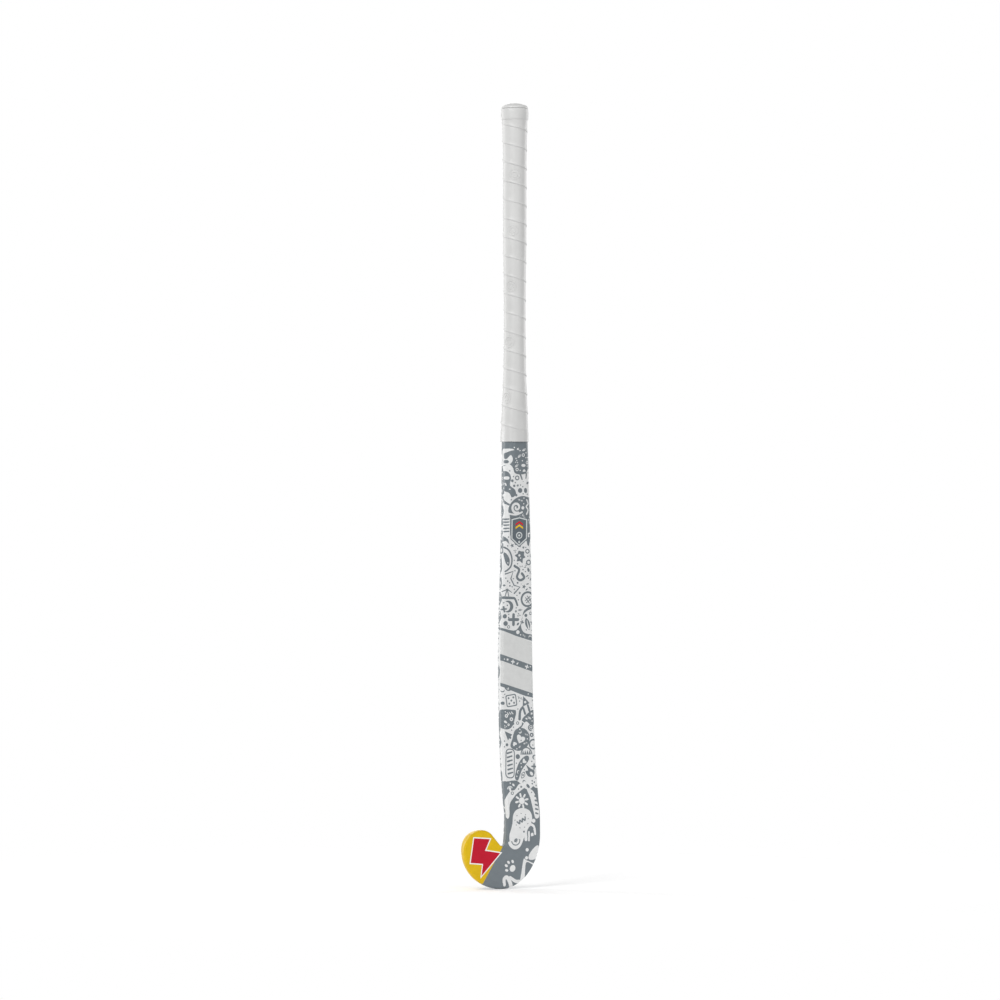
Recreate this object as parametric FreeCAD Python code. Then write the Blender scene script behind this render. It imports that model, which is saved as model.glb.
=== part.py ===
import FreeCAD, Part
import math
import os

# Field hockey stick, composite, adult length. All sizes are in millimetres.
#
# The functions below work in "height", measured upwards from the lowest point of the sole.
# x runs across the playing face: minus x is the toe side and plus x is the heel side.
# y runs through the stick: minus y is the flat playing face and plus y is the rounded back.
# The handle's axis is x = 0, y = 0. Each finished solid is moved down at the end, so that the
# frame's origin is on the handle's axis, at the middle of the butt collar.

V = FreeCAD.Vector

# ---- driving dimensions --------------------------------------------------------------------

STICK_LENGTH = 927.0          # sole to the top of the butt cap, a 36.5 inch stick

FILM = 0.3                    # printed film, toe film and decals
WALL = 3.0                    # carbon and glass laminate
FOAM_SLEEVE = 2.0             # moulded build-up round the laminate in the handle
AIR_TUBE = 0.5                # nylon air tubes left in the two chambers
WEB = 3.0                     # rib between the two chambers
ARAMID = 1.2                  # sock round the head core
UNDERWRAP = 0.3               # adhesive base tape
FINISHING_TAPE = 0.25

FACE_PLANE = -20.5            # y of the flat playing face on the head
FACE_PLANE_TOP = 100.0        # the head is faced off flat below this height

GRIP_BOTTOM = 527.0
GRIP_TOP = 920.8
FILM_TOP = 545.0              # the print runs on under the grip
SLEEVE_BOTTOM = 548.0
TUBE_TOP = 915.0              # the laminate and the foam sleeve end here
RING_BOTTOM = 908.0           # rubber ring that makes the knob at the butt
RING_RADIUS = 14.5
COLLAR_RADIUS = 16.0          # the wrapped knob, a true cylinder
COLLAR_BOTTOM = 908.6
CAP_RADIUS = 15.6
CAP_RIM = 1.0
CAP_DOME = STICK_LENGTH - GRIP_TOP - CAP_RIM
CAP_PLUG_BOTTOM = 897.0
CAP_PLUG_RADIUS = 7.5
HANDLE_PLUG_BOTTOM = 820.0
CHAMBER_BOTTOM = 104.0        # the head core fills everything below this
TAPE_HEIGHT = 11.0

ORIGIN_HEIGHT = (COLLAR_BOTTOM + GRIP_TOP) / 2

# The bare stick: height, toe-side edge, heel-side edge, thickness, y of the face,
# and how far each front corner's rounding reaches across and deep.
STICK_PROFILE = [
    (64.0, -21.2, 24.0, 20.0, -20.7, 3.0, 3.0),
    (85.0, -20.5, 23.7, 20.0, -20.7, 3.0, 3.0),
    (104.0, -21.4, 22.9, 20.2, -18.9, 3.0, 3.0),
    (140.0, -22.0, 22.0, 20.8, -14.6, 3.0, 3.0),
    (180.0, -21.6, 21.6, 21.4, -10.9, 3.0, 3.0),
    (230.0, -21.1, 21.1, 22.0, -8.2, 3.0, 3.0),
    (290.0, -20.5, 20.5, 22.8, -7.1, 3.0, 3.0),
    (380.0, -18.3, 18.3, 24.5, -9.6, 4.0, 4.0),
    (458.0, -16.0, 16.0, 26.2, -11.6, 6.5, 7.0),
    (520.0, -14.8, 14.8, 27.4, -13.0, 10.0, 11.0),
    (560.0, -13.2, 13.2, 27.0, -13.3, 10.5, 13.0),
    (640.0, -10.7, 10.7, 24.4, -12.2, 8.7, 12.2),
    (720.0, -11.0, 11.0, 24.8, -12.4, 9.0, 12.4),
    (800.0, -11.7, 11.7, 25.9, -12.95, 9.7, 12.9),
    (915.0, -12.6, 12.6, 27.0, -13.5, 10.6, 13.5),
]

# The wrapped grip: height, width, depth of the oval.
GRIP_PROFILE = [
    (527.0, 30.9, 29.8),
    (576.0, 28.4, 29.8),
    (612.0, 26.3, 28.6),
    (665.0, 24.8, 27.8),
    (718.0, 25.6, 28.3),
    (760.0, 26.9, 29.3),
    (860.0, 27.3, 29.7),
    (892.0, 28.9, 31.0),
    (905.0, 29.3, 31.0),
]

BACK_FULLNESS = 2.4           # superellipse exponent of the rounded back
GRIP_FULLNESS = 2.7           # the same for the foot of the grip
GRIP_ROUND_ABOVE = 600.0      # a true oval from here up
GRIP_POINTS = 32              # points round one section of the grip

# Hook outline in the plane of the face, as (x, height).
CROTCH_CENTRE = (-26.5, 54.5)
CROTCH_RADIUS = 4.5
CROTCH_TURN = 135.0           # degrees the inside edge turns through, shaft to toe
HEEL_CENTRE = (-27.0, 64.0)   # quarter ellipse from the shaft to the sole
HEEL_RADII = (51.0, 64.0)
SOLE_CENTRE = (-27.0, 44.5)   # quarter ellipse from the sole to the toe
SOLE_RADII = (50.6, 44.5)
TIP_CENTRE = (-54.8, 44.5)    # ellipse round the tip of the toe
TIP_RADII = (22.8, 25.1)
TIP_INNER_START = 55.0        # degrees, where the inside edge meets the tip's ellipse
TIP_OUTER_START = 180.0
TIP_END = 127.5               # degrees, where both edges meet
TIP_ROUNDING = 2.0            # how early the toe starts to thin towards its tip
HEAD_THICKNESS = 20.0
TOE_THICKNESS = 19.0

# Line between the yellow toe and the printed film, from the crotch to the sole.
TOE_LINE_TOP = (-26.5, 50.0)
TOE_LINE_BOTTOM = (-51.0, 10.6)


# ---- small helpers ---------------------------------------------------------------------------

def mix(a, b, share):
    return a + (b - a) * share


def smooth_row(table, height):
    """Row of a table at a height, as a cubic that keeps to the table's own rises and falls."""
    height = min(max(height, table[0][0]), table[-1][0])
    index = 0
    while index < len(table) - 2 and height > table[index + 1][0]:
        index += 1

    def slope(row, column):
        if row == 0 or row == len(table) - 1:
            return 0.0
        before = (table[row][column] - table[row - 1][column]) / (table[row][0] - table[row - 1][0])
        after = (table[row + 1][column] - table[row][column]) / (table[row + 1][0] - table[row][0])
        return 0.0 if before * after <= 0 else 2 * before * after / (before + after)

    low, high = table[index], table[index + 1]
    step = high[0] - low[0]
    t = (height - low[0]) / step
    values = []
    for column in range(1, len(low)):
        rise = t * t * (3 - 2 * t)
        start_bend = t * (1 - t) ** 2 * step * slope(index, column)
        end_bend = t * t * (t - 1) * step * slope(index + 1, column)
        values.append(mix(low[column], high[column], rise) + start_bend + end_bend)
    return values


def on_ellipse(centre, radii, degrees):
    angle = math.radians(degrees)
    return (centre[0] + radii[0] * math.cos(angle), centre[1] + radii[1] * math.sin(angle))


def slab(low_height, high_height, low_x=-120.0, high_x=120.0):
    """Box that keeps the part of a solid between two heights."""
    box = Part.makeBox(high_x - low_x, 120.0, high_height - low_height)
    box.translate(V(low_x, -60.0, low_height))
    return box


# ---- the stick's body: cross sections along the shaft and round the hook ------------------------

def shaft_rib(height):
    """One cross section of the shaft, from its toe-side edge to its heel-side edge."""
    toe_x, heel_x, thickness, face_y, corner_across, corner_deep = smooth_row(STICK_PROFILE, height)
    return {
        "inner": (toe_x, height), "outer": (heel_x, height), "height": height,
        "thickness": thickness, "face": face_y, "corner": (corner_across, corner_deep),
    }


def hook_rib(inner, outer, thickness):
    """One cross section of the hook, from its inside edge to the heel, sole or toe."""
    corner = min(3.0, thickness / 4, math.dist(inner, outer) / 4)
    face_y = STICK_PROFILE[0][4]
    return {
        "inner": inner, "outer": outer, "height": 0.0,
        "thickness": thickness, "face": face_y, "corner": (corner, corner),
    }


def hook_ribs():
    ribs = []
    turns = 27
    for turn in range(turns + 1):
        angle = -CROTCH_TURN * turn / turns
        inner = on_ellipse(CROTCH_CENTRE, (CROTCH_RADIUS, CROTCH_RADIUS), angle)
        if angle > -90:
            outer = on_ellipse(HEEL_CENTRE, HEEL_RADII, angle)
        else:
            outer = on_ellipse(SOLE_CENTRE, SOLE_RADII, angle)
        ribs.append(hook_rib(inner, outer, HEAD_THICKNESS))

    toe_start = ribs[-1]["inner"]
    toe_end = on_ellipse(TIP_CENTRE, TIP_RADII, TIP_INNER_START)
    toe_steps = 6
    for step in range(1, toe_steps + 1):
        share = step / toe_steps
        inner = (mix(toe_start[0], toe_end[0], share), mix(toe_start[1], toe_end[1], share))
        outer = on_ellipse(SOLE_CENTRE, SOLE_RADII, -CROTCH_TURN - share * (180 - CROTCH_TURN))
        ribs.append(hook_rib(inner, outer, mix(HEAD_THICKNESS, TOE_THICKNESS, share)))

    for share in (0.15, 0.3, 0.45, 0.58, 0.7, 0.8, 0.88, 0.94, 0.98):
        inner = on_ellipse(TIP_CENTRE, TIP_RADII, mix(TIP_INNER_START, TIP_END, share))
        outer = on_ellipse(TIP_CENTRE, TIP_RADII, mix(TIP_OUTER_START, TIP_END, share))
        ribs.append(hook_rib(inner, outer, TOE_THICKNESS * math.sqrt(1 - share ** TIP_ROUNDING)))
    return ribs


def shaft_ribs(low_height):
    top = STICK_PROFILE[-1][0]
    bottom = STICK_PROFILE[0][0]
    count = 36
    heights = [mix(top, bottom, step / count) for step in range(count + 1)]
    return [shaft_rib(height) for height in heights if height >= low_height]


def section_wire(rib, inset):
    """Flat front, two rounded front corners and a superellipse back, set in by inset."""
    ix, iz = rib["inner"]
    ox, oz = rib["outer"]
    length = math.dist(rib["inner"], rib["outer"])
    across = ((ox - ix) / length, (oz - iz) / length)
    middle = ((ix + ox) / 2, (iz + oz) / 2)
    half = length / 2 - inset
    deep = rib["thickness"] - 2 * inset
    corner_across = max(rib["corner"][0] - inset, 0.4)
    corner_deep = max(rib["corner"][1] - inset, 0.4)
    front = rib["face"] + inset

    def place(p, q):
        return V(middle[0] + across[0] * p, front + q, middle[1] + across[1] * p)

    def corner(side, degrees):
        angle = math.radians(degrees)
        p = half - corner_across + corner_across * math.sin(angle)
        return place(side * p, corner_deep * (1 - math.cos(angle)))

    def back(degrees):
        angle = math.radians(degrees)
        power = 2 / BACK_FULLNESS
        p = half * math.copysign(abs(math.cos(angle)) ** power, math.cos(angle))
        return place(p, corner_deep + (deep - corner_deep) * math.sin(angle) ** power)

    points = [corner(1, degrees) for degrees in (0, 30, 60)]
    points += [back(degrees) for degrees in range(0, 180, 15)]
    points += [back(180)]
    points += [corner(-1, degrees) for degrees in (60, 30, 0)]
    curve = Part.BSplineCurve()
    steps = len(points) - 1
    curve.interpolate(Points=points, Parameters=[step / steps for step in range(steps + 1)])
    return Part.Wire([curve.toShape(), Part.makeLine(points[-1], points[0])])


def stick_body(inset, low_height=0.0, drop_tip=0):
    """Whole stick, or its part above low_height, set in by a number or by a function of height."""
    inset_at = inset if callable(inset) else (lambda height: inset)
    ribs = shaft_ribs(low_height)
    if low_height < STICK_PROFILE[0][0]:
        ribs += hook_ribs()
        if drop_tip:
            ribs = ribs[:-drop_tip]
    wires = [section_wire(rib, inset_at(rib["height"])) for rib in ribs]
    body = Part.makeLoft(wires, True, True)
    if low_height < STICK_PROFILE[0][0]:
        facing = Part.makeBox(240.0, 20.0, FACE_PLANE_TOP + 10.0)
        facing.translate(V(-120.0, FACE_PLANE + inset_at(0.0) - 20.0, -10.0))
        body = body.cut(facing)
    return body


def shell_inset(height):
    """The laminate lies under the film, and steps in under the foam sleeve in the handle."""
    step = min(max((height - FILM_TOP) / (SLEEVE_BOTTOM - FILM_TOP), 0.0), 1.0)
    return mix(FILM, FOAM_SLEEVE, step)


# ---- laminate and what is inside it -------------------------------------------------------------

def cavity(extra=0.0):
    return stick_body(lambda height: shell_inset(height) + WALL + extra, drop_tip=5)


def composite_shell(outer, inside):
    return outer.cut(inside).common(slab(-1.0, TUBE_TOP))


def web_spar(inside):
    return inside.common(slab(CHAMBER_BOTTOM, HANDLE_PLUG_BOTTOM, -WEB / 2, WEB / 2))


def air_tube(inside, lining, side):
    """Thin tube pressed against one chamber's walls, closed at its foot and open at its top."""
    near, far = sorted((side * WEB / 2, side * 60.0))
    inner_near, inner_far = sorted((side * (WEB / 2 + AIR_TUBE), side * 60.0))
    chamber = inside.common(slab(CHAMBER_BOTTOM, HANDLE_PLUG_BOTTOM, near, far))
    hollow = lining.common(slab(CHAMBER_BOTTOM + AIR_TUBE, HANDLE_PLUG_BOTTOM + 1, inner_near, inner_far))
    return chamber.cut(hollow)


def head_core():
    core = stick_body(FILM + WALL + ARAMID, drop_tip=5)
    return core.common(slab(-1.0, CHAMBER_BOTTOM - ARAMID))


def aramid_head_sock(inside, core):
    return inside.common(slab(-1.0, CHAMBER_BOTTOM)).cut(core)


def handle_plug(inside):
    return inside.common(slab(HANDLE_PLUG_BOTTOM, CAP_PLUG_BOTTOM))


# ---- handle -------------------------------------------------------------------------------------

def grip_section(height, outset):
    """Closed outline of the wrapped grip, fuller at its foot, where the stick's corners are squarer."""
    width, depth = smooth_row(GRIP_PROFILE, height)
    # The oval follows the bare stick, whose middle moves back a little below the grip.
    thickness, face_y = smooth_row(STICK_PROFILE, height)[2:4]
    share = min((height - GRIP_BOTTOM) / (GRIP_ROUND_ABOVE - GRIP_BOTTOM), 1.0)
    power = 2 / mix(GRIP_FULLNESS, 2.0, share)
    points = []
    for step in range(GRIP_POINTS):
        angle = 2 * math.pi * step / GRIP_POINTS
        across, back = math.cos(angle), math.sin(angle)
        x = (width / 2 + outset) * math.copysign(abs(across) ** power, across)
        y = (depth / 2 + outset) * math.copysign(abs(back) ** power, back)
        points.append(V(x, face_y + thickness / 2 + y, height))
    curve = Part.BSplineCurve()
    curve.interpolate(points, PeriodicFlag=True)
    return Part.Wire([curve.toShape()])


def grip_outer(outset=0.0):
    """The oval of the wrapped grip, without the knob at the butt."""
    count = 28
    heights = [mix(GRIP_PROFILE[0][0], GRIP_PROFILE[-1][0], step / count) for step in range(count + 1)]
    return Part.makeLoft([grip_section(height, outset) for height in heights], True, True)


def foam_sleeve(body, shell_outside):
    return body.cut(shell_outside).common(slab(SLEEVE_BOTTOM, TUBE_TOP))


def underwrap(body, wrapped_body):
    return wrapped_body.cut(body).common(slab(GRIP_BOTTOM, RING_BOTTOM))


def butt_ring(body):
    ring = Part.makeCylinder(RING_RADIUS, GRIP_TOP - RING_BOTTOM, V(0, 0, RING_BOTTOM))
    bore = Part.makeCylinder(CAP_PLUG_RADIUS, GRIP_TOP - TUBE_TOP + 1, V(0, 0, TUBE_TOP - 1))
    return ring.cut(body.common(slab(0.0, TUBE_TOP))).cut(bore)


def grip_wrap(wrapped_body):
    collar = Part.makeCylinder(COLLAR_RADIUS, GRIP_TOP - COLLAR_BOTTOM, V(0, 0, COLLAR_BOTTOM))
    last_width, last_depth = GRIP_PROFILE[-1][1:]
    taper_height = GRIP_PROFILE[-1][0]
    taper = Part.makeCone(min(last_width, last_depth) / 2, COLLAR_RADIUS, COLLAR_BOTTOM - taper_height,
                          V(0, 0, taper_height))
    sleeve = grip_outer().fuse([taper, collar]).removeSplitter()
    ring_space = Part.makeCylinder(RING_RADIUS, GRIP_TOP - RING_BOTTOM + 1, V(0, 0, RING_BOTTOM))
    return sleeve.cut(wrapped_body.common(slab(0.0, RING_BOTTOM))).cut(ring_space)


def finishing_tape():
    band = grip_outer(FINISHING_TAPE).cut(grip_outer())
    return band.common(slab(GRIP_BOTTOM, GRIP_BOTTOM + TAPE_HEIGHT))


def end_cap(inside):
    """Domed cap with a rim, and a plug that fills the top of the tube."""
    dome = Part.makeSphere(CAP_RADIUS, V(0, 0, 0), V(0, 0, 1), 0, 90, 360)
    flatten = FreeCAD.Matrix()
    flatten.scale(1.0, 1.0, CAP_DOME / CAP_RADIUS)
    dome = dome.transformGeometry(flatten)
    dome.translate(V(0, 0, GRIP_TOP + CAP_RIM))
    rim = Part.makeCylinder(CAP_RADIUS, CAP_RIM, V(0, 0, GRIP_TOP))
    neck = Part.makeCylinder(CAP_PLUG_RADIUS, GRIP_TOP - TUBE_TOP, V(0, 0, TUBE_TOP))
    plug = inside.common(slab(CAP_PLUG_BOTTOM, TUBE_TOP))
    return dome.fuse([rim, neck, plug]).removeSplitter()


# ---- films and decals ---------------------------------------------------------------------------

def face_prism(points, back_y):
    """Solid that cuts an outline, given as (x, height), out of a film from the front to back_y."""
    front_y = -60.0
    corners = [V(x, front_y, height) for x, height in points]
    return Part.Face(Part.makePolygon(corners + corners[:1])).extrude(V(0, back_y - front_y, 0))


def emblem_outline():
    """Lightning bolt on the toe."""
    return [
        (-66.0, 62.0), (-42.0, 60.0), (-48.5, 46.5), (-27.5, 43.0), (-56.5, 13.0),
        (-54.5, 29.0), (-71.0, 30.5),
    ]


def crest_outline():
    """Shield below the grip: low peak, straight sides and a pointed foot."""
    return [
        (-11.0, 436.0), (0.5, 438.5), (12.0, 436.0), (12.0, 411.5), (0.5, 402.0), (-11.0, 411.5),
    ]


def toe_side():
    """Everything on the toe's side of the line from the crotch to the sole."""
    top, bottom = TOE_LINE_TOP, TOE_LINE_BOTTOM
    below = (2 * bottom[0] - top[0], 2 * bottom[1] - top[1])
    far_x, far_height = -140.0, 140.0
    outline = [top, below, (far_x, below[1]), (far_x, far_height), (top[0], far_height)]
    return face_prism(outline, 60.0)


def films(body, shell_outside):
    """The film round the whole stick, cut into the print, the toe and the two decals."""
    skin = body.cut(shell_outside).common(slab(-1.0, FILM_TOP))
    emblem = face_prism(emblem_outline(), FACE_PLANE + 1.0)
    crest = face_prism(crest_outline(), 0.0)
    toe = toe_side()
    return {
        "toe_emblem": skin.common(emblem),
        "crest_decal": skin.common(crest),
        "toe_film": skin.common(toe).cut(emblem),
        "shaft_print_film": skin.cut(toe).cut(emblem).cut(crest),
    }


# ---- every sub-part ------------------------------------------------------------------------------

def build():
    body = stick_body(0.0)
    wrapped_body = stick_body(-UNDERWRAP, low_height=400.0)
    film_inside = stick_body(FILM, drop_tip=1)
    shell_outside = stick_body(shell_inset, drop_tip=1)
    inside = cavity()
    lining = cavity(AIR_TUBE)
    core = head_core()
    nodes = {
        "composite_shell": composite_shell(shell_outside, inside),
        "web_spar": web_spar(inside),
        "air_tube_toe_side": air_tube(inside, lining, -1),
        "air_tube_heel_side": air_tube(inside, lining, 1),
        "head_core": core,
        "aramid_head_sock": aramid_head_sock(inside, core),
        "handle_plug": handle_plug(inside),
        "handle_foam_sleeve": foam_sleeve(body, shell_outside),
        "underwrap_tape": underwrap(body, wrapped_body),
        "butt_ring": butt_ring(body),
        "grip_wrap": grip_wrap(wrapped_body),
        "finishing_tape": finishing_tape(),
        "end_cap": end_cap(inside),
    }
    nodes.update(films(body, film_inside))
    return nodes


os.makedirs("parts", exist_ok=True)
for name, shape in build().items():
    shape.translate(V(0, 0, -ORIGIN_HEIGHT))
    shape.exportStep("parts/" + name + ".step")
    box = shape.BoundBox
    print(f"{name:20s} solids {len(shape.Solids)} valid {shape.isValid()} volume {shape.Volume:10.1f}"
          f"  x {box.XMin:7.1f} {box.XMax:7.1f}  y {box.YMin:6.1f} {box.YMax:6.1f}"
          f"  z {box.ZMin:7.1f} {box.ZMax:7.1f}")
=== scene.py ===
import math
import random

import bmesh
import bpy
import numpy as np
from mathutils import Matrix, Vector
from mathutils.geometry import delaunay_2d_cdt


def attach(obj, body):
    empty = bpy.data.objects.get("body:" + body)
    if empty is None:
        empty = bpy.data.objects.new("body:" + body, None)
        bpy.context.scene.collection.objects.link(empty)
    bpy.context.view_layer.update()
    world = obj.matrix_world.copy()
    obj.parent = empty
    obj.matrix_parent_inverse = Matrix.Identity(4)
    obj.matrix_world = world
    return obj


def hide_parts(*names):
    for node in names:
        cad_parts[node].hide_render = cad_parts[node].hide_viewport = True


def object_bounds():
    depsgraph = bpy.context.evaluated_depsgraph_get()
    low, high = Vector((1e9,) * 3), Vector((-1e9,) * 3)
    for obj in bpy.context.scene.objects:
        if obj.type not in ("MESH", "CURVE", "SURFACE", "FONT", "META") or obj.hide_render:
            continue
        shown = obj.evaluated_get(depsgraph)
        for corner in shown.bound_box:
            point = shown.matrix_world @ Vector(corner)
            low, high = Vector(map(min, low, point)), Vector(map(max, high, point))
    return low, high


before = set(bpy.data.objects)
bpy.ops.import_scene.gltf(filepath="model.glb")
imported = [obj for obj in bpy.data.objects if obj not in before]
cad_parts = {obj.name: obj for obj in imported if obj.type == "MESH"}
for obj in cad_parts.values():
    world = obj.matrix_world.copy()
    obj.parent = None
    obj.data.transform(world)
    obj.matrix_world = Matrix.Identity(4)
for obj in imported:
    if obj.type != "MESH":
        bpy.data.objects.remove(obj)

# Looks of the field hockey stick. Shapes are worked out in millimetres: x runs across the face from
# the toe side (minus) to the heel side (plus), y runs from the face (minus) to the back (plus), and
# height is measured up from the sole. to_frame() turns them into the frame's metres.

CAD_LOW, CAD_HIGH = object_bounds()
BODY = "root"

# ---- sizes that the CAD part has too -----------------------------------------------------------

STICK_LENGTH = 927.0
FACE_PLANE = -20.5
FACE_PLANE_TOP = 100.0
GRIP_BOTTOM = 527.0
GRIP_TOP = 920.8
FILM_TOP = 545.0
COLLAR_RADIUS = 16.0
COLLAR_BOTTOM = 908.6
CAP_RADIUS = 15.6
CAP_RIM = 1.0
CAP_DOME = STICK_LENGTH - GRIP_TOP - CAP_RIM
CAP_PLUG_BOTTOM = 897.0
CAP_PLUG_RADIUS = 7.5
TAPE_HEIGHT = 11.0
FINISHING_TAPE = 0.25

# Height, toe-side edge, heel-side edge, thickness, y of the face, corner across, corner deep.
STICK_PROFILE = [
    (64.0, -21.2, 24.0, 20.0, -20.7, 3.0, 3.0),
    (85.0, -20.5, 23.7, 20.0, -20.7, 3.0, 3.0),
    (104.0, -21.4, 22.9, 20.2, -18.9, 3.0, 3.0),
    (140.0, -22.0, 22.0, 20.8, -14.6, 3.0, 3.0),
    (180.0, -21.6, 21.6, 21.4, -10.9, 3.0, 3.0),
    (230.0, -21.1, 21.1, 22.0, -8.2, 3.0, 3.0),
    (290.0, -20.5, 20.5, 22.8, -7.1, 3.0, 3.0),
    (380.0, -18.3, 18.3, 24.5, -9.6, 4.0, 4.0),
    (458.0, -16.0, 16.0, 26.2, -11.6, 6.5, 7.0),
    (520.0, -14.8, 14.8, 27.4, -13.0, 10.0, 11.0),
    (560.0, -13.2, 13.2, 27.0, -13.3, 10.5, 13.0),
    (640.0, -10.7, 10.7, 24.4, -12.2, 8.7, 12.2),
    (720.0, -11.0, 11.0, 24.8, -12.4, 9.0, 12.4),
    (800.0, -11.7, 11.7, 25.9, -12.95, 9.7, 12.9),
    (915.0, -12.6, 12.6, 27.0, -13.5, 10.6, 13.5),
]
GRIP_PROFILE = [
    (527.0, 30.9, 29.8), (576.0, 28.4, 29.8), (612.0, 26.3, 28.6), (665.0, 24.8, 27.8),
    (718.0, 25.6, 28.3), (760.0, 26.9, 29.3), (860.0, 27.3, 29.7), (892.0, 28.9, 31.0),
    (905.0, 29.3, 31.0),
]
BACK_FULLNESS = 2.4
GRIP_FULLNESS, GRIP_ROUND_ABOVE = 2.7, 600.0
CROTCH_CENTRE, CROTCH_RADIUS = (-26.5, 54.5), 4.5
CROTCH_TURN, HEEL_TURN = 135.0, 90.0      # degrees round the crotch: all of the bend, and the heel's part
HEEL_CENTRE, HEEL_RADII = (-27.0, 64.0), (51.0, 64.0)
SOLE_CENTRE, SOLE_RADII = (-27.0, 44.5), (50.6, 44.5)
TIP_CENTRE, TIP_RADII = (-54.8, 44.5), (22.8, 25.1)
TIP_INNER_START, TIP_OUTER_START, TIP_END = 55.0, 180.0, 127.5
HEAD_THICKNESS, TOE_THICKNESS, TIP_ROUNDING = 20.0, 19.0, 2.0
HOOK_CORNER = 3.0
TOE_LINE_TOP, TOE_LINE_BOTTOM = (-26.5, 50.0), (-51.0, 10.6)
EMBLEM_OUTLINE = [
    (-66.0, 62.0), (-42.0, 60.0), (-48.5, 46.5), (-27.5, 43.0), (-56.5, 13.0), (-54.5, 29.0), (-71.0, 30.5),
]
CREST_OUTLINE = [(-11.0, 436.0), (0.5, 438.5), (12.0, 436.0), (12.0, 411.5), (0.5, 402.0), (-11.0, 411.5)]

# ---- the unrolled skin ---------------------------------------------------------------------------
# along: distance down the stick from the top of the film, round the hook and up to the toe's tip.
# around: 0 at the middle of the face, FRONT_HALF where the front corner ends, SKIN_HALF at the middle
# of the back. Plus is the heel side.

SHAFT_END = FILM_TOP - STICK_PROFILE[0][0]
TURN_LENGTH = 135.0
TOE_LENGTH = 40.0
TIP_LENGTH = 40.0
TIP_SHARE = 0.99
TURN_END = SHAFT_END + TURN_LENGTH
TOE_END = TURN_END + TOE_LENGTH
SKIN_END = TOE_END + TIP_LENGTH
FRONT_HALF = 22.0
BACK_HALF = 32.0
SKIN_HALF = FRONT_HALF + BACK_HALF
FILM_THICKNESS = 0.2
LIFT = 0.35                   # the film stands this far off the moulding on its corners, edges and back
TOE_REACH = 80.0              # everything past the crotch and lower than this is toe


def to_frame(x, y, height):
    """Metres in the frame, from millimetres and a height above the sole."""
    return np.stack([x / 1000, y / 1000, height / 1000 + CAD_LOW.z], axis=-1)


def mix(a, b, share):
    return a + (b - a) * share


def clamp(value, low=0.0, high=1.0):
    return min(max(value, low), high)


def smooth_row(table, height):
    """Row of a table at a height, as a cubic that keeps to the table's own rises and falls."""
    height = clamp(height, table[0][0], table[-1][0])
    index = 0
    while index < len(table) - 2 and height > table[index + 1][0]:
        index += 1

    def slope(row, column):
        if row == 0 or row == len(table) - 1:
            return 0.0
        before = (table[row][column] - table[row - 1][column]) / (table[row][0] - table[row - 1][0])
        after = (table[row + 1][column] - table[row][column]) / (table[row + 1][0] - table[row][0])
        return 0.0 if before * after <= 0 else 2 * before * after / (before + after)

    low, high = table[index], table[index + 1]
    step = high[0] - low[0]
    t = (height - low[0]) / step
    values = []
    for column in range(1, len(low)):
        rise = t * t * (3 - 2 * t)
        start_bend = t * (1 - t) ** 2 * step * slope(index, column)
        end_bend = t * t * (t - 1) * step * slope(index + 1, column)
        values.append(mix(low[column], high[column], rise) + start_bend + end_bend)
    return values


def on_ellipse(centre, radii, degrees):
    angle = math.radians(degrees)
    return (centre[0] + radii[0] * math.cos(angle), centre[1] + radii[1] * math.sin(angle))


def hook_rib(inner, outer, thickness):
    corner = min(HOOK_CORNER, thickness / 4, math.dist(inner, outer) / 4)
    return (*inner, *outer, thickness, STICK_PROFILE[0][4], corner, corner)


def rib(along):
    """Inside edge, outside edge, thickness, y of the face and corner, at a distance along the skin."""
    if along <= SHAFT_END:
        height = FILM_TOP - along
        toe_x, heel_x, *rest = smooth_row(STICK_PROFILE, height)
        return (toe_x, height, heel_x, height, *rest)
    if along <= TURN_END:
        angle = -CROTCH_TURN * (along - SHAFT_END) / TURN_LENGTH
        inner = on_ellipse(CROTCH_CENTRE, (CROTCH_RADIUS, CROTCH_RADIUS), angle)
        heel = angle > -HEEL_TURN
        outer = on_ellipse(HEEL_CENTRE if heel else SOLE_CENTRE, HEEL_RADII if heel else SOLE_RADII, angle)
        return hook_rib(inner, outer, HEAD_THICKNESS)
    if along <= TOE_END:
        share = (along - TURN_END) / TOE_LENGTH
        start = on_ellipse(CROTCH_CENTRE, (CROTCH_RADIUS, CROTCH_RADIUS), -CROTCH_TURN)
        end = on_ellipse(TIP_CENTRE, TIP_RADII, TIP_INNER_START)
        inner = (mix(start[0], end[0], share), mix(start[1], end[1], share))
        outer = on_ellipse(SOLE_CENTRE, SOLE_RADII, -CROTCH_TURN - share * (180 - CROTCH_TURN))
        return hook_rib(inner, outer, mix(HEAD_THICKNESS, TOE_THICKNESS, share))
    share = TIP_SHARE * (along - TOE_END) / TIP_LENGTH
    inner = on_ellipse(TIP_CENTRE, TIP_RADII, mix(TIP_INNER_START, TIP_END, share))
    outer = on_ellipse(TIP_CENTRE, TIP_RADII, mix(TIP_OUTER_START, TIP_END, share))
    return hook_rib(inner, outer, TOE_THICKNESS * math.sqrt(1 - share ** TIP_ROUNDING))


RIB_STEP = 0.25
RIB_PLACES = np.arange(0.0, SKIN_END + RIB_STEP / 2, RIB_STEP)
RIBS = np.array([rib(min(along, SKIN_END)) for along in RIB_PLACES])


def ribs_at(along):
    return [np.interp(along, RIB_PLACES, RIBS[:, column]) for column in range(RIBS.shape[1])]


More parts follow.
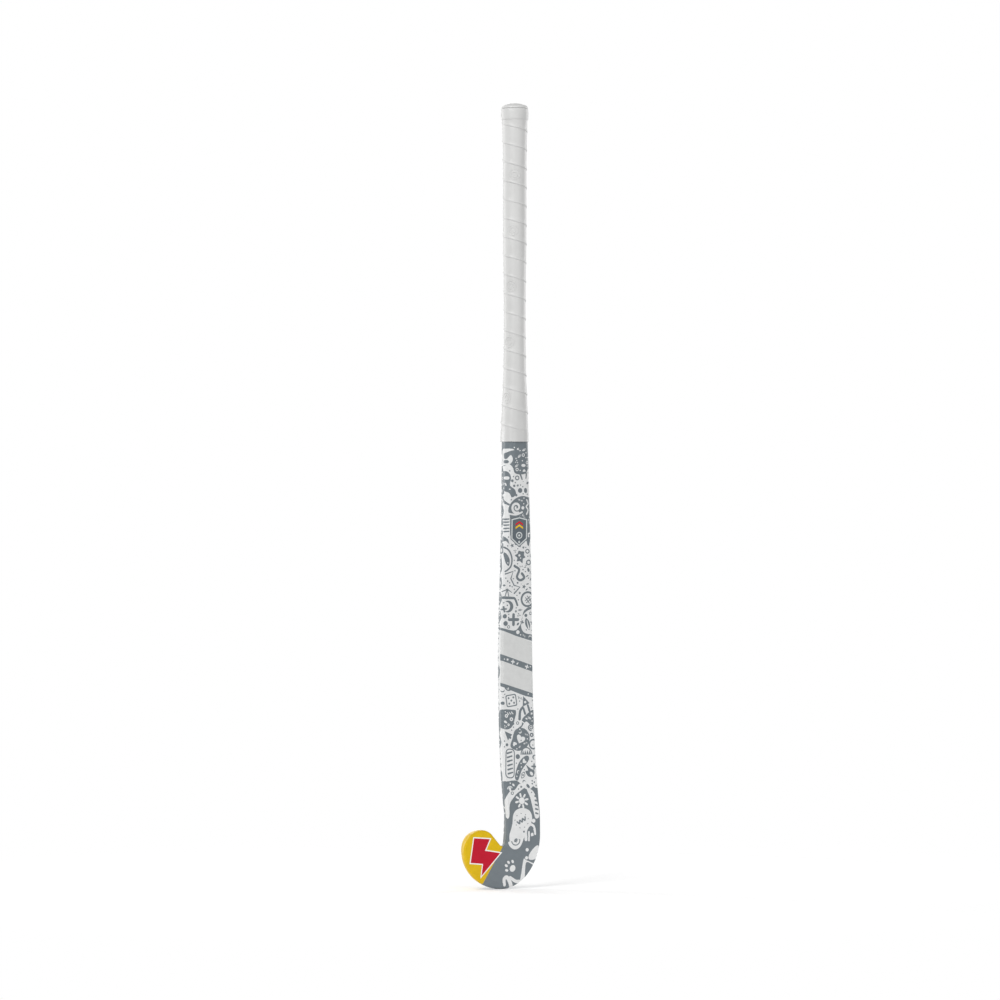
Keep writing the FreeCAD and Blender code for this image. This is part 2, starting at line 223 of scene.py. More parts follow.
def skin_point(along, around):
    """Point on the skin, in millimetres, for arrays of places on the unrolled skin."""
    around = (around + SKIN_HALF) % (2 * SKIN_HALF) - SKIN_HALF
    ix, iz, ox, oz, thickness, face, corner, corner_deep = ribs_at(along)
    length = np.hypot(ox - ix, oz - iz)
    half = length / 2 + LIFT
    side = np.sign(around)
    reach = np.abs(around)
    flat = half - corner
    arc = math.pi / 2 * np.sqrt((corner ** 2 + corner_deep ** 2) / 2)
    travelled = np.minimum(reach / FRONT_HALF, 1.0) * (flat + arc)
    angle = np.clip((travelled - flat) / arc, 0.0, 1.0) * math.pi / 2
    p = np.where(travelled < flat, travelled, flat + corner * np.sin(angle))
    q = np.where(travelled < flat, 0.0, corner_deep * (1 - np.cos(angle)))
    angle = np.clip((reach - FRONT_HALF) / BACK_HALF, 0.0, 1.0) * math.pi / 2
    power = 2 / BACK_FULLNESS
    back_p = half * np.maximum(np.cos(angle), 0.0) ** power
    back_q = corner_deep + (thickness + LIFT - corner_deep) * np.sin(angle) ** power
    on_back = reach > FRONT_HALF
    p = side * np.where(on_back, back_p, p)
    q = np.where(on_back, back_q, q)
    x = (ix + ox) / 2 + (ox - ix) / length * p
    height = (iz + oz) / 2 + (oz - iz) / length * p
    y = face + q
    y = np.where(height < FACE_PLANE_TOP, np.maximum(y, FACE_PLANE), y)
    return np.stack([x, y, height], axis=-1)


def skin_normal(along, around):
    """Outward direction of the skin, from the slopes of the surface."""
    step = 0.4
    before = np.maximum(along - step, 0.0)
    after = np.minimum(along + step, SKIN_END)
    down = skin_point(after, around) - skin_point(before, around)
    across = skin_point(along, around + step) - skin_point(along, around - step)
    normal = np.cross(down, across)
    return normal / np.maximum(np.linalg.norm(normal, axis=-1, keepdims=True), 1e-9)


def unroll(points, back=False):
    """Places on the unrolled skin for points (x, height) seen on the face, or through it on the back."""
    points = np.array(points, float)
    places = RIB_PLACES[::4]
    ix, iz, ox, oz = RIBS.T[:4, ::4]
    px, pz = points[:, :1], points[:, 1:]
    turn = (ox - ix) * (pz - iz) - (oz - iz) * (px - ix)
    # beyond the crotch, only the ribs of the toe's half of the hook count
    on_toe = (px < CROTCH_CENTRE[0]) & (pz < TOE_REACH)
    turn = np.where(on_toe & (places < SHAFT_END + TURN_LENGTH * HEEL_TURN / CROTCH_TURN), -1.0, turn)
    first = np.argmax(turn >= 0, axis=1)
    first = np.maximum(first, 1)
    rows = np.arange(len(points))
    low, high = turn[rows, first - 1], turn[rows, first]
    share = np.clip(-low / np.maximum(high - low, 1e-9), 0.0, 1.0)
    along = mix(places[first - 1], places[first], share)
    ix, iz, ox, oz, _, _, corner, corner_deep = ribs_at(along)
    length = np.hypot(ox - ix, oz - iz)
    half = length / 2 + LIFT
    offset = ((points[:, 0] - (ix + ox) / 2) * (ox - ix) + (points[:, 1] - (iz
                                                                            + oz) / 2) * (oz - iz)) / length
    reach = np.abs(offset)
    if back:
        angle = np.arccos(np.clip(reach / half, 0.0, 1.0) ** (BACK_FULLNESS / 2))
        around = FRONT_HALF + BACK_HALF * angle / (math.pi / 2)
        around = np.where(offset < 0, 2 * SKIN_HALF - around, around)
    else:
        flat = half - corner
        arc = math.pi / 2 * np.sqrt((corner ** 2 + corner_deep ** 2) / 2)
        angle = np.arcsin(np.clip((reach - flat) / corner, 0.0, 1.0))
        travelled = np.where(reach < flat, reach, flat + arc * angle / (math.pi / 2))
        around = np.sign(offset) * (FRONT_HALF * travelled / (flat + arc) + np.maximum(reach - half, 0.0))
    return [(float(a), float(b)) for a, b in zip(along, around)]


# ---- drawing: outlines are lists of (across, up), and a motif is a list of (figure?, outline) --------

PEN = 1.5                     # breadth of the pen, on every line of the print


def oval(wide, tall=None, x=0.0, y=0.0, turn=0.0, count=20):
    tall = wide if tall is None else tall
    points = [(wide * math.cos(k * 2 * math.pi / count), tall * math.sin(k * 2 * math.pi / count))
              for k in range(count)]
    return moved(points, x, y, turn)


def moved(points, x=0.0, y=0.0, turn=0.0, size=1.0):
    c, s = math.cos(math.radians(turn)) * size, math.sin(math.radians(turn)) * size
    return [(x + c * a - s * b, y + s * a + c * b) for a, b in points]


def curve(points, closed=True, steps=4):
    """Smooth line through a few points."""
    count = len(points)
    result = []
    for k in range(count if closed else count - 1):
        if closed:
            p = [points[(k + j) % count] for j in (-1, 0, 1, 2)]
        else:
            p = [points[min(max(k + j, 0), count - 1)] for j in (-1, 0, 1, 2)]
        for step in range(steps):
            t = step / steps
            result.append(tuple(
                0.5 * (2 * p[1][a] + (p[2][a] - p[0][a]) * t
                       + (2 * p[0][a] - 5 * p[1][a] + 4 * p[2][a] - p[3][a]) * t * t
                       + (3 * p[1][a] - p[0][a] - 3 * p[2][a] + p[3][a]) * t ** 3)
                for a in (0, 1)))
    if not closed:
        result.append(points[-1])
    return result


def stroke(points, start, end=None, steps=4):
    """Outline of a pen line with round ends, which may grow thinner or thicker."""
    end = start if end is None else end
    start, end = start * PEN, end * PEN
    path = curve(points, closed=False, steps=steps) if steps > 1 else list(points)
    left, right = [], []
    last = len(path) - 1
    for k, (x, y) in enumerate(path):
        ax, ay = path[max(k - 1, 0)]
        bx, by = path[min(k + 1, last)]
        length = max(math.hypot(bx - ax, by - ay), 1e-6)
        half = mix(start, end, k / last) / 2
        nx, ny = -(by - ay) / length * half, (bx - ax) / length * half
        left.append((x + nx, y + ny))
        right.append((x - nx, y - ny))

    def round_end(centre, a, sweep):
        return [moved([(a[0] - centre[0], a[1] - centre[1])], *centre, sweep * k)[0] for k in (1, 2, 3)]

    return (left + round_end(path[-1], left[-1], -45) + right[::-1] + round_end(path[0], right[0], -45))


def line(points, start, end=None, steps=4):
    return [(True, stroke(points, start, end, steps))]


def straight(points, start, end=None):
    return line(points, start, end, steps=1)


def blot(points):
    return [(True, curve(points))]


def balls(size, radius, places, is_figure=True):
    """Small discs of one radius, which is a share of the motif's size, as the places are."""
    return [(is_figure, oval(size * radius, None, size * x, size * y)) for x, y in places]


def disc(size):
    return [(True, oval(size))]


def bean(size, slim=0.6):
    return [(True, oval(size, size * slim))]


def ring(size, width=0.3):
    return [(True, oval(size)), (False, oval(size * (1 - width * PEN)))]


def target(size):
    return ring(size, 0.24) + disc(size * 0.4)


def star(size, arms=5, waist=0.45):
    points = []
    for k in range(2 * arms):
        reach, angle = size * waist if k % 2 else size, k * math.pi / arms
        points.append((reach * math.sin(angle), reach * math.cos(angle)))
    return [(True, points)]


def heart(size):
    points = []
    for k in range(28):
        t = k * 2 * math.pi / 28
        points.append((size * math.sin(t) ** 3,
                       size * (13 * math.cos(t) - 5 * math.cos(2 * t) - 2 * math.cos(3 * t)) / 16))
    return [(True, points)]


def paw(size):
    toes = [(-0.85, 0.35), (-0.32, 0.85), (0.32, 0.85), (0.85, 0.35)]
    return [(True, oval(size * 0.55, size * 0.48, 0, -size * 0.3))] + [
        (True, oval(size * 0.2, size * 0.29, x * size, y * size, -28 * x)) for x, y in toes]


def spiral(size, turns=1.7, width=0.24):
    count = 26
    points = []
    for k in range(count + 1):
        share = k / count
        radius = size * (0.16 + 0.78 * share)
        angle = share * turns * 2 * math.pi
        points.append((radius * math.cos(angle), radius * math.sin(angle)))
    return straight(points, size * width * 0.7, size * width)


def moon(size):
    outer = [on_ellipse((0, 0), (size, size), angle) for angle in range(50, 311, 13)]
    inner = [on_ellipse((size * 0.42, 0), (size * 0.8, size * 0.8), angle) for angle in range(286, 69, -14)]
    return [(True, outer + inner)]


def plus(size, width=0.3):
    pen = size * width * 1.5
    return straight([(-size, 0), (size, 0)], pen) + straight([(0, -size), (0, size)], pen)


def drop(size):
    return blot([(0, size), (size * 0.5, -size * 0.1), (0, -size * 0.75), (-size * 0.5, -size * 0.1)])


def leaf(size):
    vein = stroke([(0, -size * 0.75), (size * 0.05, size * 0.6)], size * 0.16, size * 0.06)
    return blot([(0, size), (size * 0.42, 0.1 * size), (0, -size), (-size * 0.42, 0.1 * size)]) + [(False,
                                                                                                    vein)]


def eye(size):
    def almond(scale):
        tall = size * scale * 0.62
        return curve([(size * scale, 0), (0, tall), (-size * scale, 0), (0, -tall)])
    return [(True, almond(1.0)), (False, almond(0.72)), (True, oval(size * 0.26))]


def wave(size):
    return line([(mix(-size, size, k / 6), size * 0.3 * (-1) ** k) for k in range(7)], size * 0.2)


def zigzag(size):
    return straight([(mix(-size, size, k / 5), size * 0.4 * (-1) ** k) for k in range(6)], size * 0.22)


def trio(size):
    return balls(size, 0.34, ((-0.6, -0.3), (0.55, -0.45), (0.05, 0.6)))


def bone(size):
    ends = balls(size, 0.27, [(x, y) for x in (-0.8, 0.8) for y in (-0.2, 0.2)])
    return straight([(-size * 0.8, 0), (size * 0.8, 0)], size * 0.34) + ends


def sun(size):
    motif = disc(size * 0.5)
    for k in range(8):
        c, s = math.cos(k * math.pi / 4), math.sin(k * math.pi / 4)
        motif += straight([(0.68 * size * c, 0.68 * size * s), (size * c, size * s)], size * 0.2)
    return motif


def flower(size):
    petals = []
    for angle in range(0, 360, 60):
        centre = on_ellipse((0, 0), (size * 0.58, size * 0.58), angle)
        petals.append((True, oval(size * 0.42, size * 0.27, *centre, angle)))
    return petals + [(True, oval(size * 0.3)), (False, oval(size * 0.15))]


def mushroom(size):
    cap = [on_ellipse((0, 0), (size, size * 0.85), angle) for angle in range(0, 181, 15)]
    stem = [(-size * 0.3, 0), (-size * 0.36, -size * 0.8), (size * 0.36, -size * 0.8), (size * 0.3, 0)]
    spots = balls(size, 0.17, ((-0.45, 0.3), (0.1, 0.5), (0.5, 0.25)), is_figure=False)
    return [(True, cap), (True, stem)] + spots


def fish(size):
    tail = [(size * 0.5, 0), (size * 1.05, size * 0.45), (size * 0.88, 0), (size * 1.05, -size * 0.45)]
    return [(True, oval(size * 0.75, size * 0.42)), (True, tail),
            (False, oval(size * 0.12, None, -size * 0.42, size * 0.1))]


def rounded(half_wide, half_tall, corner, x=0.0, y=0.0, turn=0.0):
    points = []
    for cx, cy, start in ((1, 1, 0), (-1, 1, 90), (-1, -1, 180), (1, -1, 270)):
        centre = (cx * (half_wide - corner), cy * (half_tall - corner))
        points += [on_ellipse(centre, (corner, corner), start + k * 22.5) for k in range(5)]
    return moved(points, x, y, turn)


def die(size):
    pips = balls(size, 0.17, ((-0.45, 0.45), (0.45, 0.45), (0, 0), (-0.45, -0.45), (0.45, -0.45)))
    return [(True, rounded(size, size, size * 0.3)), (False,
                                                      rounded(size * 0.82, size * 0.82,
                                                              size * 0.22))] + pips


def tally(size, count=5):
    """A row of upright dashes."""
    motif = []
    for k in range(count):
        x = mix(-size, size, k / (count - 1))
        motif += straight([(x, -size * 0.42), (x, size * 0.42)], size * 0.17)
    return motif


def lattice(size):
    motif = []
    for k in (-0.35, 0.35):
        motif += straight([(-size, k * size), (size, k * size)], size * 0.17)
        motif += straight([(k * size, -size), (k * size, size)], size * 0.17)
    return motif


def arrow(size):
    head = [(-size * 0.6, size * 0.25), (0, size), (size * 0.6, size * 0.25)]
    return straight([(0, -size), (0, size * 0.5)], size * 0.26) + [(True, head)]


def cloud(size):
    bumps = [(-0.6, -0.05, 0.36), (-0.2, 0.28, 0.42), (0.35, 0.2, 0.4), (0.7, -0.1, 0.3),
             (0.1, -0.15, 0.45)]
    return [(True, oval(size * r, None, size * x, size * y)) for x, y, r in bumps]


def flame(size):
    tongues = [(0, -0.8), (0.6, -0.35), (0.35, 0.2), (0.12, 1), (-0.1, 0.3), (-0.5, 0.45), (-0.6, -0.35)]
    return blot([(size * x, size * y) for x, y in tongues]) + [
        (False, oval(size * 0.2, size * 0.3, 0, -size * 0.35))]


def splat(size, seed=1):
    shape = random.Random(seed)
    points = []
    for k in range(12):
        reach = size * (shape.uniform(0.62, 1.0) if k % 2 else shape.uniform(0.45, 0.7))
        points.append(on_ellipse((0, 0), (reach, reach), k * 30))
    return blot(points) + [(False, oval(size * 0.16, None, -size * 0.1, size * 0.2))]


def fork(size):
    prongs = []
    for x in (-0.45, 0, 0.45):
        prongs += straight([(x * size, size), (x * size, size * 0.1)], size * 0.24)
    base = straight([(-size * 0.45, size * 0.1), (size * 0.45, size * 0.1)], size * 0.3)
    return prongs + base + line([(0, 0), (0, -size)], size * 0.28, size * 0.16)


def lump(draws, x, y, wide, tall, corners, low, high):
    """Smooth outline whose corners reach out by uneven shares, from low to high."""
    points = []
    for k in range(corners):
        reach, angle = draws.uniform(low, high), k * 2 * math.pi / corners
        points.append((x + wide * reach * math.cos(angle), y + tall * reach * math.sin(angle)))
    return curve(points)


# ---- the print: shapes painted in order on the unrolled skin ------------------------------------------

PRINT, TOE, EMBLEM, CREST = "print", "toe", "emblem", "crest"
painted = []      # (layer, colour, outline on the unrolled skin, its lowest and highest corner)
LONGEST_STEP = 25.0           # a shape with a longer gap on the unrolled skin has run off the hook
SEAM_REACH = 12.0             # a shape this near the middle of the back is copied over the seam there
BORDER_TURN = 88.0            # degrees round the crotch after which the toe's border can lie


def dense(points, longest=2.0):
    """The same outline with its long sides divided, so that they follow a curved surface."""
    result = []
    for (ax, ay), (bx, by) in zip(points, points[1:] + points[:1]):
        pieces = max(1, math.ceil(math.dist((ax, ay), (bx, by)) / longest))
        result += [(mix(ax, bx, k / pieces), mix(ay, by, k / pieces)) for k in range(pieces)]
    return result


def inside(points, outline):
    """Which points lie inside an outline, by its winding number."""
    x, y = points[:, 0], points[:, 1]
    winding = np.zeros(len(points), int)
    for (ax, ay), (bx, by) in zip(outline, outline[1:] + outline[:1]):
        side = (bx - ax) * (y - ay) - (x - ax) * (by - ay)
        winding += ((ay <= y) & (by > y) & (side > 0)).astype(int)
        winding -= ((ay > y) & (by <= y) & (side < 0)).astype(int)
    return winding != 0


def paint(outline, colour, layer=PRINT, all_round=False):
    """Adds a shape, and its copies over the seam down the back unless it goes all round the stick."""
    near_seam = not all_round and max(abs(around) for along, around in outline) > SKIN_HALF - SEAM_REACH
    for shift in (0, -2 * SKIN_HALF, 2 * SKIN_HALF) if near_seam else (0,):
        shape = [(along, around + shift) for along, around in outline]
        alongs, arounds = zip(*shape)
        painted.append((layer, colour, shape, (min(alongs), min(arounds), max(alongs), max(arounds))))


def colour_at(along, around):
    """Colour of the print at a place so far."""
    around = (around + SKIN_HALF) % (2 * SKIN_HALF) - SKIN_HALF
    spot = np.array([[along, around]])
    for layer, colour, outline, box in reversed(painted):
        near = box[0] < along < box[2] and box[1] < around < box[3]
        if near and layer == PRINT and inside(spot, outline)[0]:
            return colour
    return "pale"


def face_shape(points, colour, layer=PRINT, back=False):
    """Paints a shape drawn on the face or the back, unless it runs off the hook."""
    places = unroll(dense(points), back)
    if max(math.dist(a, b) for a, b in zip(places, places[1:] + places[:1])) < LONGEST_STEP:
        paint(places, colour, layer)


def ink_on(ground):
    return "pale" if ground == "slate" else "slate"


def draw(motif, x, height, turn=0.0, ground=None, back=False):
    """A motif on the face or the back, in the colour that shows on what is there already."""
    ground = ground or colour_at(*unroll([(x, height)], back)[0])
    for is_figure, outline in motif:
        face_shape(moved(outline, x, height, turn), ink_on(ground) if is_figure else ground, back=back)


def dark(motif, x=0, height=0, turn=0.0):
    """A slate motif on a pale part of the face."""
    draw(motif, x, height, turn, "pale")


def light(motif, x=0, height=0, turn=0.0):
    """A pale motif on a slate part of the face."""
    draw(motif, x, height, turn, "slate")


def draw_on_edge(motif, along, around, turn=0.0):
    ground = colour_at(along, around)
    for is_figure, outline in motif:
        placed = moved(outline, 0, 0, turn)
        paint([(along - b, around + a) for a, b in placed], ink_on(ground) if is_figure else ground)


PAST_SEAM = SKIN_HALF + 6.0   # an area that goes all round the stick reaches this far each way


def paint_ground():
    """The large slate and pale areas of the face, from the grip down to the heel."""
    def slate(points, smooth=True):
        face_shape(curve(points) if smooth else points, "slate")

    def pale(points, smooth=True, colour="pale"):
        face_shape(curve(points) if smooth else points, colour)

    # below the grip the whole shaft is slate, ending in a ragged cloud
    edge = [(0.0, -PAST_SEAM), (34.0, -PAST_SEAM), (37.0, -44.0), (33.0, -30.0), (41.0, -22.0), (42.0, -18.0),
            (48.0, -10.0), (55.0, -7.0), (57.0, 0.0), (56.0, 8.0), (51.0, 13.0), (50.0, 19.0), (46.0, 24.0),
            (44.0, 34.0), (50.0, 48.0), (47.0, PAST_SEAM), (0.0, PAST_SEAM)]
    paint(edge[:2] + curve(edge[1:-1], closed=False) + edge[-2:], "slate", all_round=True)
    # a bumpy leaf at the toe side, and the round hill that the crest stands in
    slate([(-17, 492), (-13, 490), (-11, 484), (-12, 475), (-6, 470), (-4.5, 464), (-10, 461), (-13, 466),
           (-19, 470), (-22, 478), (-21, 486)])
    slate([(-14, 445), (-12, 453), (-5, 459.5), (4, 462.5), (12, 461), (20, 458), (24, 440), (22, 420),
           (16, 405), (12, 404), (8, 412), (-10, 412), (-12, 436)])
    pale([(-40, 440), (-18, 441), (-13, 443), (-12.5, 400), (0, 396), (13, 402), (16, 412), (24, 410),
          (26, 300), (-40, 300)], smooth=False)
    # rounded web between two pale discs, above the plain bands
    slate([(19, 333), (8.5, 327), (6, 317), (2, 308), (-5.5, 303.5), (-26, 308), (-26, 305), (26, 289.5),
           (26, 297), (10, 300.5), (4.8, 308), (6, 319), (11.5, 326), (20, 330)])
    # a plain light band, halved by one slanting stripe
    pale([(-22, 304.5), (22, 288.5), (22, 226), (-22, 241)], smooth=False, colour="band")
    slate([(-22, 276), (22, 261.5), (22, 254), (-22, 268.5)], smooth=False)
    slate([(-22, 242), (22, 228.5), (22, 223.5), (10, 226), (-4, 231), (-22, 238)], smooth=False)
    # dark card, brush, ring round the heart
    slate([(-25, 209), (-6, 210), (-3, 207), (-5, 199), (-9, 190), (-17, 187), (-25, 192)])
    slate([(5, 199), (12, 205), (18, 209), (24, 208), (26, 196), (17, 191.5), (10, 196), (3, 188.5),
           (-2, 187.5), (4, 192)])
    slate([(-9, 176), (-5, 186), (5, 188.5), (12.5, 183), (14, 174), (9, 165), (-1, 161.5), (-9, 164),
           (-12, 168)])
    slate([(9.5, 156), (1, 151), (-5, 141), (-8, 130), (-4, 127), (2, 139), (12, 151)])
    # the heel is slate, with a rounded panel above it
    far = SKIN_END + 3.0
    top = [(417.0, -PAST_SEAM), (415.0, -40.0), (419.0, -22.0), (418.0, -8.0), (421.0, -2.0), (427.0, 3.0),
           (429.0, 9.0), (423.0, 18.0), (424.0, 30.0), (418.0, 42.0), (417.0, PAST_SEAM)]
    paint(curve(top, closed=False) + [(far, PAST_SEAM), (far, -PAST_SEAM)], "slate", all_round=True)
    pale([(-9, 116), (-2, 123), (6, 118.5), (2, 117), (-10, 108), (-17, 99), (-18, 85), (-21, 84),
          (-22, 104), (-16, 114)])
    pale([(7, 117), (16, 113), (21, 96), (22, 84), (17, 82), (14, 92), (11, 106)])
    pale([(12, 128), (26, 126), (26, 119), (18, 118)])


def paint_badge():
    """Peanut-shaped pale badge on the heel, with a ring and freckles of the builder's own."""
    face_shape(curve([(-9, 92), (0, 94.5), (9, 91), (12.5, 83), (10, 74), (3, 66), (0, 55), (-5, 47.5),
                      (-12, 46), (-18, 50.5), (-20, 58), (-17, 66), (-14, 76), (-13, 86)]), "pale")
    dark(ring(6.2, 0.14), -9.5, 56.5)
    dark(star(3.4, 6, 0.5), -9.5, 56.5, 12)
    for k in range(9):
        angle = k * 40 + 15
        x, height = on_ellipse((-1.5, 79.5), (9.0, 8.5), angle)
        dark(bean(0.9, 0.5), x, height, angle + 60)
    dark(wave(6.0), -1.5, 79.5, 28)
    dark(disc(1.2), 1.5, 66.5)


def paint_front():
    """The doodles of the face, from the grip to the heel."""
    # under the grip
    light(blot([(-19, 517), (-12, 518.5), (-7, 517), (-12, 515.5), (-16, 512), (-15, 506), (-11, 511),
                (-9, 505), (-13, 499.5), (-18, 502), (-21, 509)]))
    light(moon(4.2), 14, 505, 200)
    draw(trio(2.2), -4, 503)
    dark(line([(-5, 491), (0, 489.5), (3.5, 482)], 2.2, 1.0))
    dark(line([(6, 492), (9, 489), (8.5, 483.5)], 1.8, 0.9))
    for x, height, radius in ((-9.5, 480.5, 1.7), (-7, 474.5, 1.5), (1.5, 475.5, 0.8), (-4, 463.5, 1.4),
                              (-20, 465, 1.4), (5, 479.5, 0.5)):
        dark(disc(radius), x, height)
    dark(bean(3.1, 0.68), 8.3, 469, 96)
    dark(line([(-23, 455), (-21.5, 460), (-18, 461)], 1.4))
    dark(line([(-18, 459), (-16.5, 455), (-13.5, 452.5)], 1.5))
    dark([(True, [(-24, 451), (-17.5, 450), (-23, 442)])])
    # the round hill
    light(spiral(7.2, 1.35, 0.3), -3.5, 449, 165)
    light(line([(-13, 441.5), (-4, 440.5), (4, 443.5)], 1.4))
    light(disc(0.9), 3.5, 457)
    light(disc(0.6), 6, 453.5)
    light(line([(10, 458), (12, 453.5), (9.5, 450), (12, 446), (10, 441)], 1.2))
    # beside the crest
    for height in (435, 431.5, 428, 424, 420.5):
        dark(line([(-17.5, height), (-13.2, height + 0.4)], 1.3, 1.0))
    dark(splat(5.0, 4), -21, 431)
    dark(splat(4.6, 7), -21.5, 419)
    dark([(True, [(-19, 416), (-14, 411), (-12.5, 405.5), (-16.5, 409.5), (-22, 407.5)])])
    # below the crest
    dark(line([(-18, 402), (-12, 397), (-8.8, 388), (-10.5, 379), (-17, 373.5)], 1.3))
    dark(blot([(-18, 396), (-12, 388), (-13, 380), (-17, 384)]))
    dark(splat(9.0, 11), 2.5, 391, 20)
    dark(ring(3.4, 0.3), 13.5, 384)
    dark(drop(3.2), 13.5, 375, 20)
    dark(straight([(-17, 370.5), (-7, 373.5), (-10, 365), (-5.5, 357), (2.5, 355), (-5, 347.5)], 1.1))
    dark(line([(-4.8, 379.5), (1, 375.5), (-1.8, 367), (2.5, 363), (8, 366), (4.8, 371)], 1.9, 2.1))
    for x, height, radius in ((-5.2, 380, 1.5), (6.2, 375.5, 0.9), (-0.8, 360, 1.2), (4, 358.5, 0.5),
                              (-14, 362, 1.0), (-18, 357, 1.2), (-11, 356.5, 1.1)):
        dark(disc(radius), x, height)
    for angle in (-70, -25, 20, 65):
        tip = on_ellipse((-14.5, 352.5), (6.5, 9.0), angle - 90)
        dark(straight([(-14.5, 352.5), tip], 1.0, 0.6))
    for x, height, turn in ((12, 368, 30), (16.5, 364, 60), (12.5, 358.5, 10), (16, 354, -30),
                            (11.5, 352, 40)):
        dark(bean(1.9, 0.4), x, height, turn)
    dark(ring(9.5, 0.17), 13, 340.5)
    dark(lattice(4.2), 14, 340, 38)
    dark(line([(-19, 342.5), (-8, 342), (-4, 341), (-0.5, 333.5)], 2.2, 1.6))
    dark(moon(7.0), -13, 332, 180)
    dark(disc(0.9), -14, 333.5)
    dark(plus(6.0, 0.26), -5.5, 316.5)
    dark(trio(2.3), 1.5, 322, 20)
    dark(disc(2.6), -17, 320.5)
    dark(disc(2.9), -16, 312)
    dark(disc(1.0), -12, 319)
    light(disc(2.3), 0.5, 301.6)
    dark(leaf(7.5), 13.5, 311, 18)
    # below the bands
    dark(line([(-17, 236), (-13, 233), (-6, 235)], 1.0))
    dark(die(7.2), -9, 221, 8)
    dark([(True, [(7, 226), (15.5, 217.5), (6, 213.5)]), (False, oval(1.5, None, 9.6, 218.8))])
    dark(line([(6, 213), (2.5, 208), (1.5, 199)], 1.7, 2.4))
    for x, height, radius in ((-16, 203, 2.2), (-9.5, 199, 2.3), (-13.5, 192.5, 1.5)):
        light(ring(radius, 0.42), x, height)
    light(zigzag(3.6), -11, 206, 10)
    dark([(True, stroke([(9, 205), (7, 211.5)], 1.8, steps=1)),
          (True, stroke([(15, 208.5), (13, 215)], 1.8, steps=1))])
    light(line([(5, 196), (8, 193), (7, 189)], 0.9))
    dark(spiral(4.2), 16.5, 189, 20)
    dark(ring(2.6, 0.42), 17, 180)
    dark(ring(6.4, 0.2), 19, 169)
    dark(disc(1.3), -7, 193.5)
    dark(disc(0.8), -7, 189.5)
    light(heart(5.8), 2, 175.5, -24)
    dark([(True, [(-19, 185), (-9, 181), (-15, 174)]), (True, oval(1.2, None, -11.5, 177))])
    dark(disc(1.8), -16.5, 169)
    dark([(True, rounded(6.2, 17.5, 5.0, -13.5, 147, -4)), (False,
                                                            rounded(5.0, 16.2, 4.0, -13.5, 147, -4))])
    for k in range(6):
        dark(line([(-16.5, 159 - 4.8 * k), (-10.5, 160.5 - 4.8 * k)], 1.5, 1.1))
    dark([(True, [on_ellipse((9, 157), (8, 9), angle) for angle in range(0, 181, 15)]),
          (False, [on_ellipse((9, 157), (6.6, 7.6), angle) for angle in range(0, 181, 15)])])
    for x in (4.5, 7.5, 10.5, 13.5):
        dark([(True, [(x - 1.6, 157), (x, 162.5), (x + 1.6, 157)])])
    dark(flame(9.0), 12.5, 137, 38)
    dark(eye(4.5), 3, 133, 60)
    light(mushroom(3.6), -15.5, 117.5, 12)
    dark(disc(1.5), -6.5, 121)
    light(disc(1.0), 0, 127.5)
    # rounded panel with a sun
    face_shape(curve([(-16, 93), (-13, 104), (-6, 112), (3, 115.5), (9, 109), (12.5, 96), (11, 91),
                      (0, 95)]), "slate")
    light(sun(8.0), -0.5, 103.0, 12)
    for k in range(6):
        dark(line([(17.5, 113 - 5 * k), (20.5, 112 - 5 * k)], 1.5, 1.0))
    # the heel
    light(line([(4.2, 57), (4.2, 68), (9.5, 74.5), (15, 72), (16.5, 64)], 2.6, 1.6))
    light(straight([(8.2, 66), (8.2, 56)], 1.5))
    for x, height, radius in ((14.5, 79, 2.4), (12.5, 63, 1.9), (15, 68.5, 1.0), (5.8, 45, 2.1),
                              (5, 35.5, 2.0)):
        light(disc(radius), x, height)
    light(line([(-27, 50.5), (-13, 41), (-6, 36.5), (-3, 39), (-1, 47)], 3.4, 2.6))
    light(blot([(20, 50), (11, 43), (7.5, 36), (10, 33), (17, 34), (24, 40)]))
    light(blot([(1, 34), (4, 33), (16, 28), (15, 26.5), (5, 30.5), (3, 20), (2, 9), (-4, 5), (-2, 18)]))
    light(paw(7.6), -15.5, 25, 52)
    light(line([(-24.5, 4.5), (-25, 11), (-21.5, 13.5), (-17.5, 8), (-15.5, 1.5)], 2.6, 3.4))
    light(line([(-17, 13), (-10, 8.5), (-5, 8)], 2.4, 2.8))


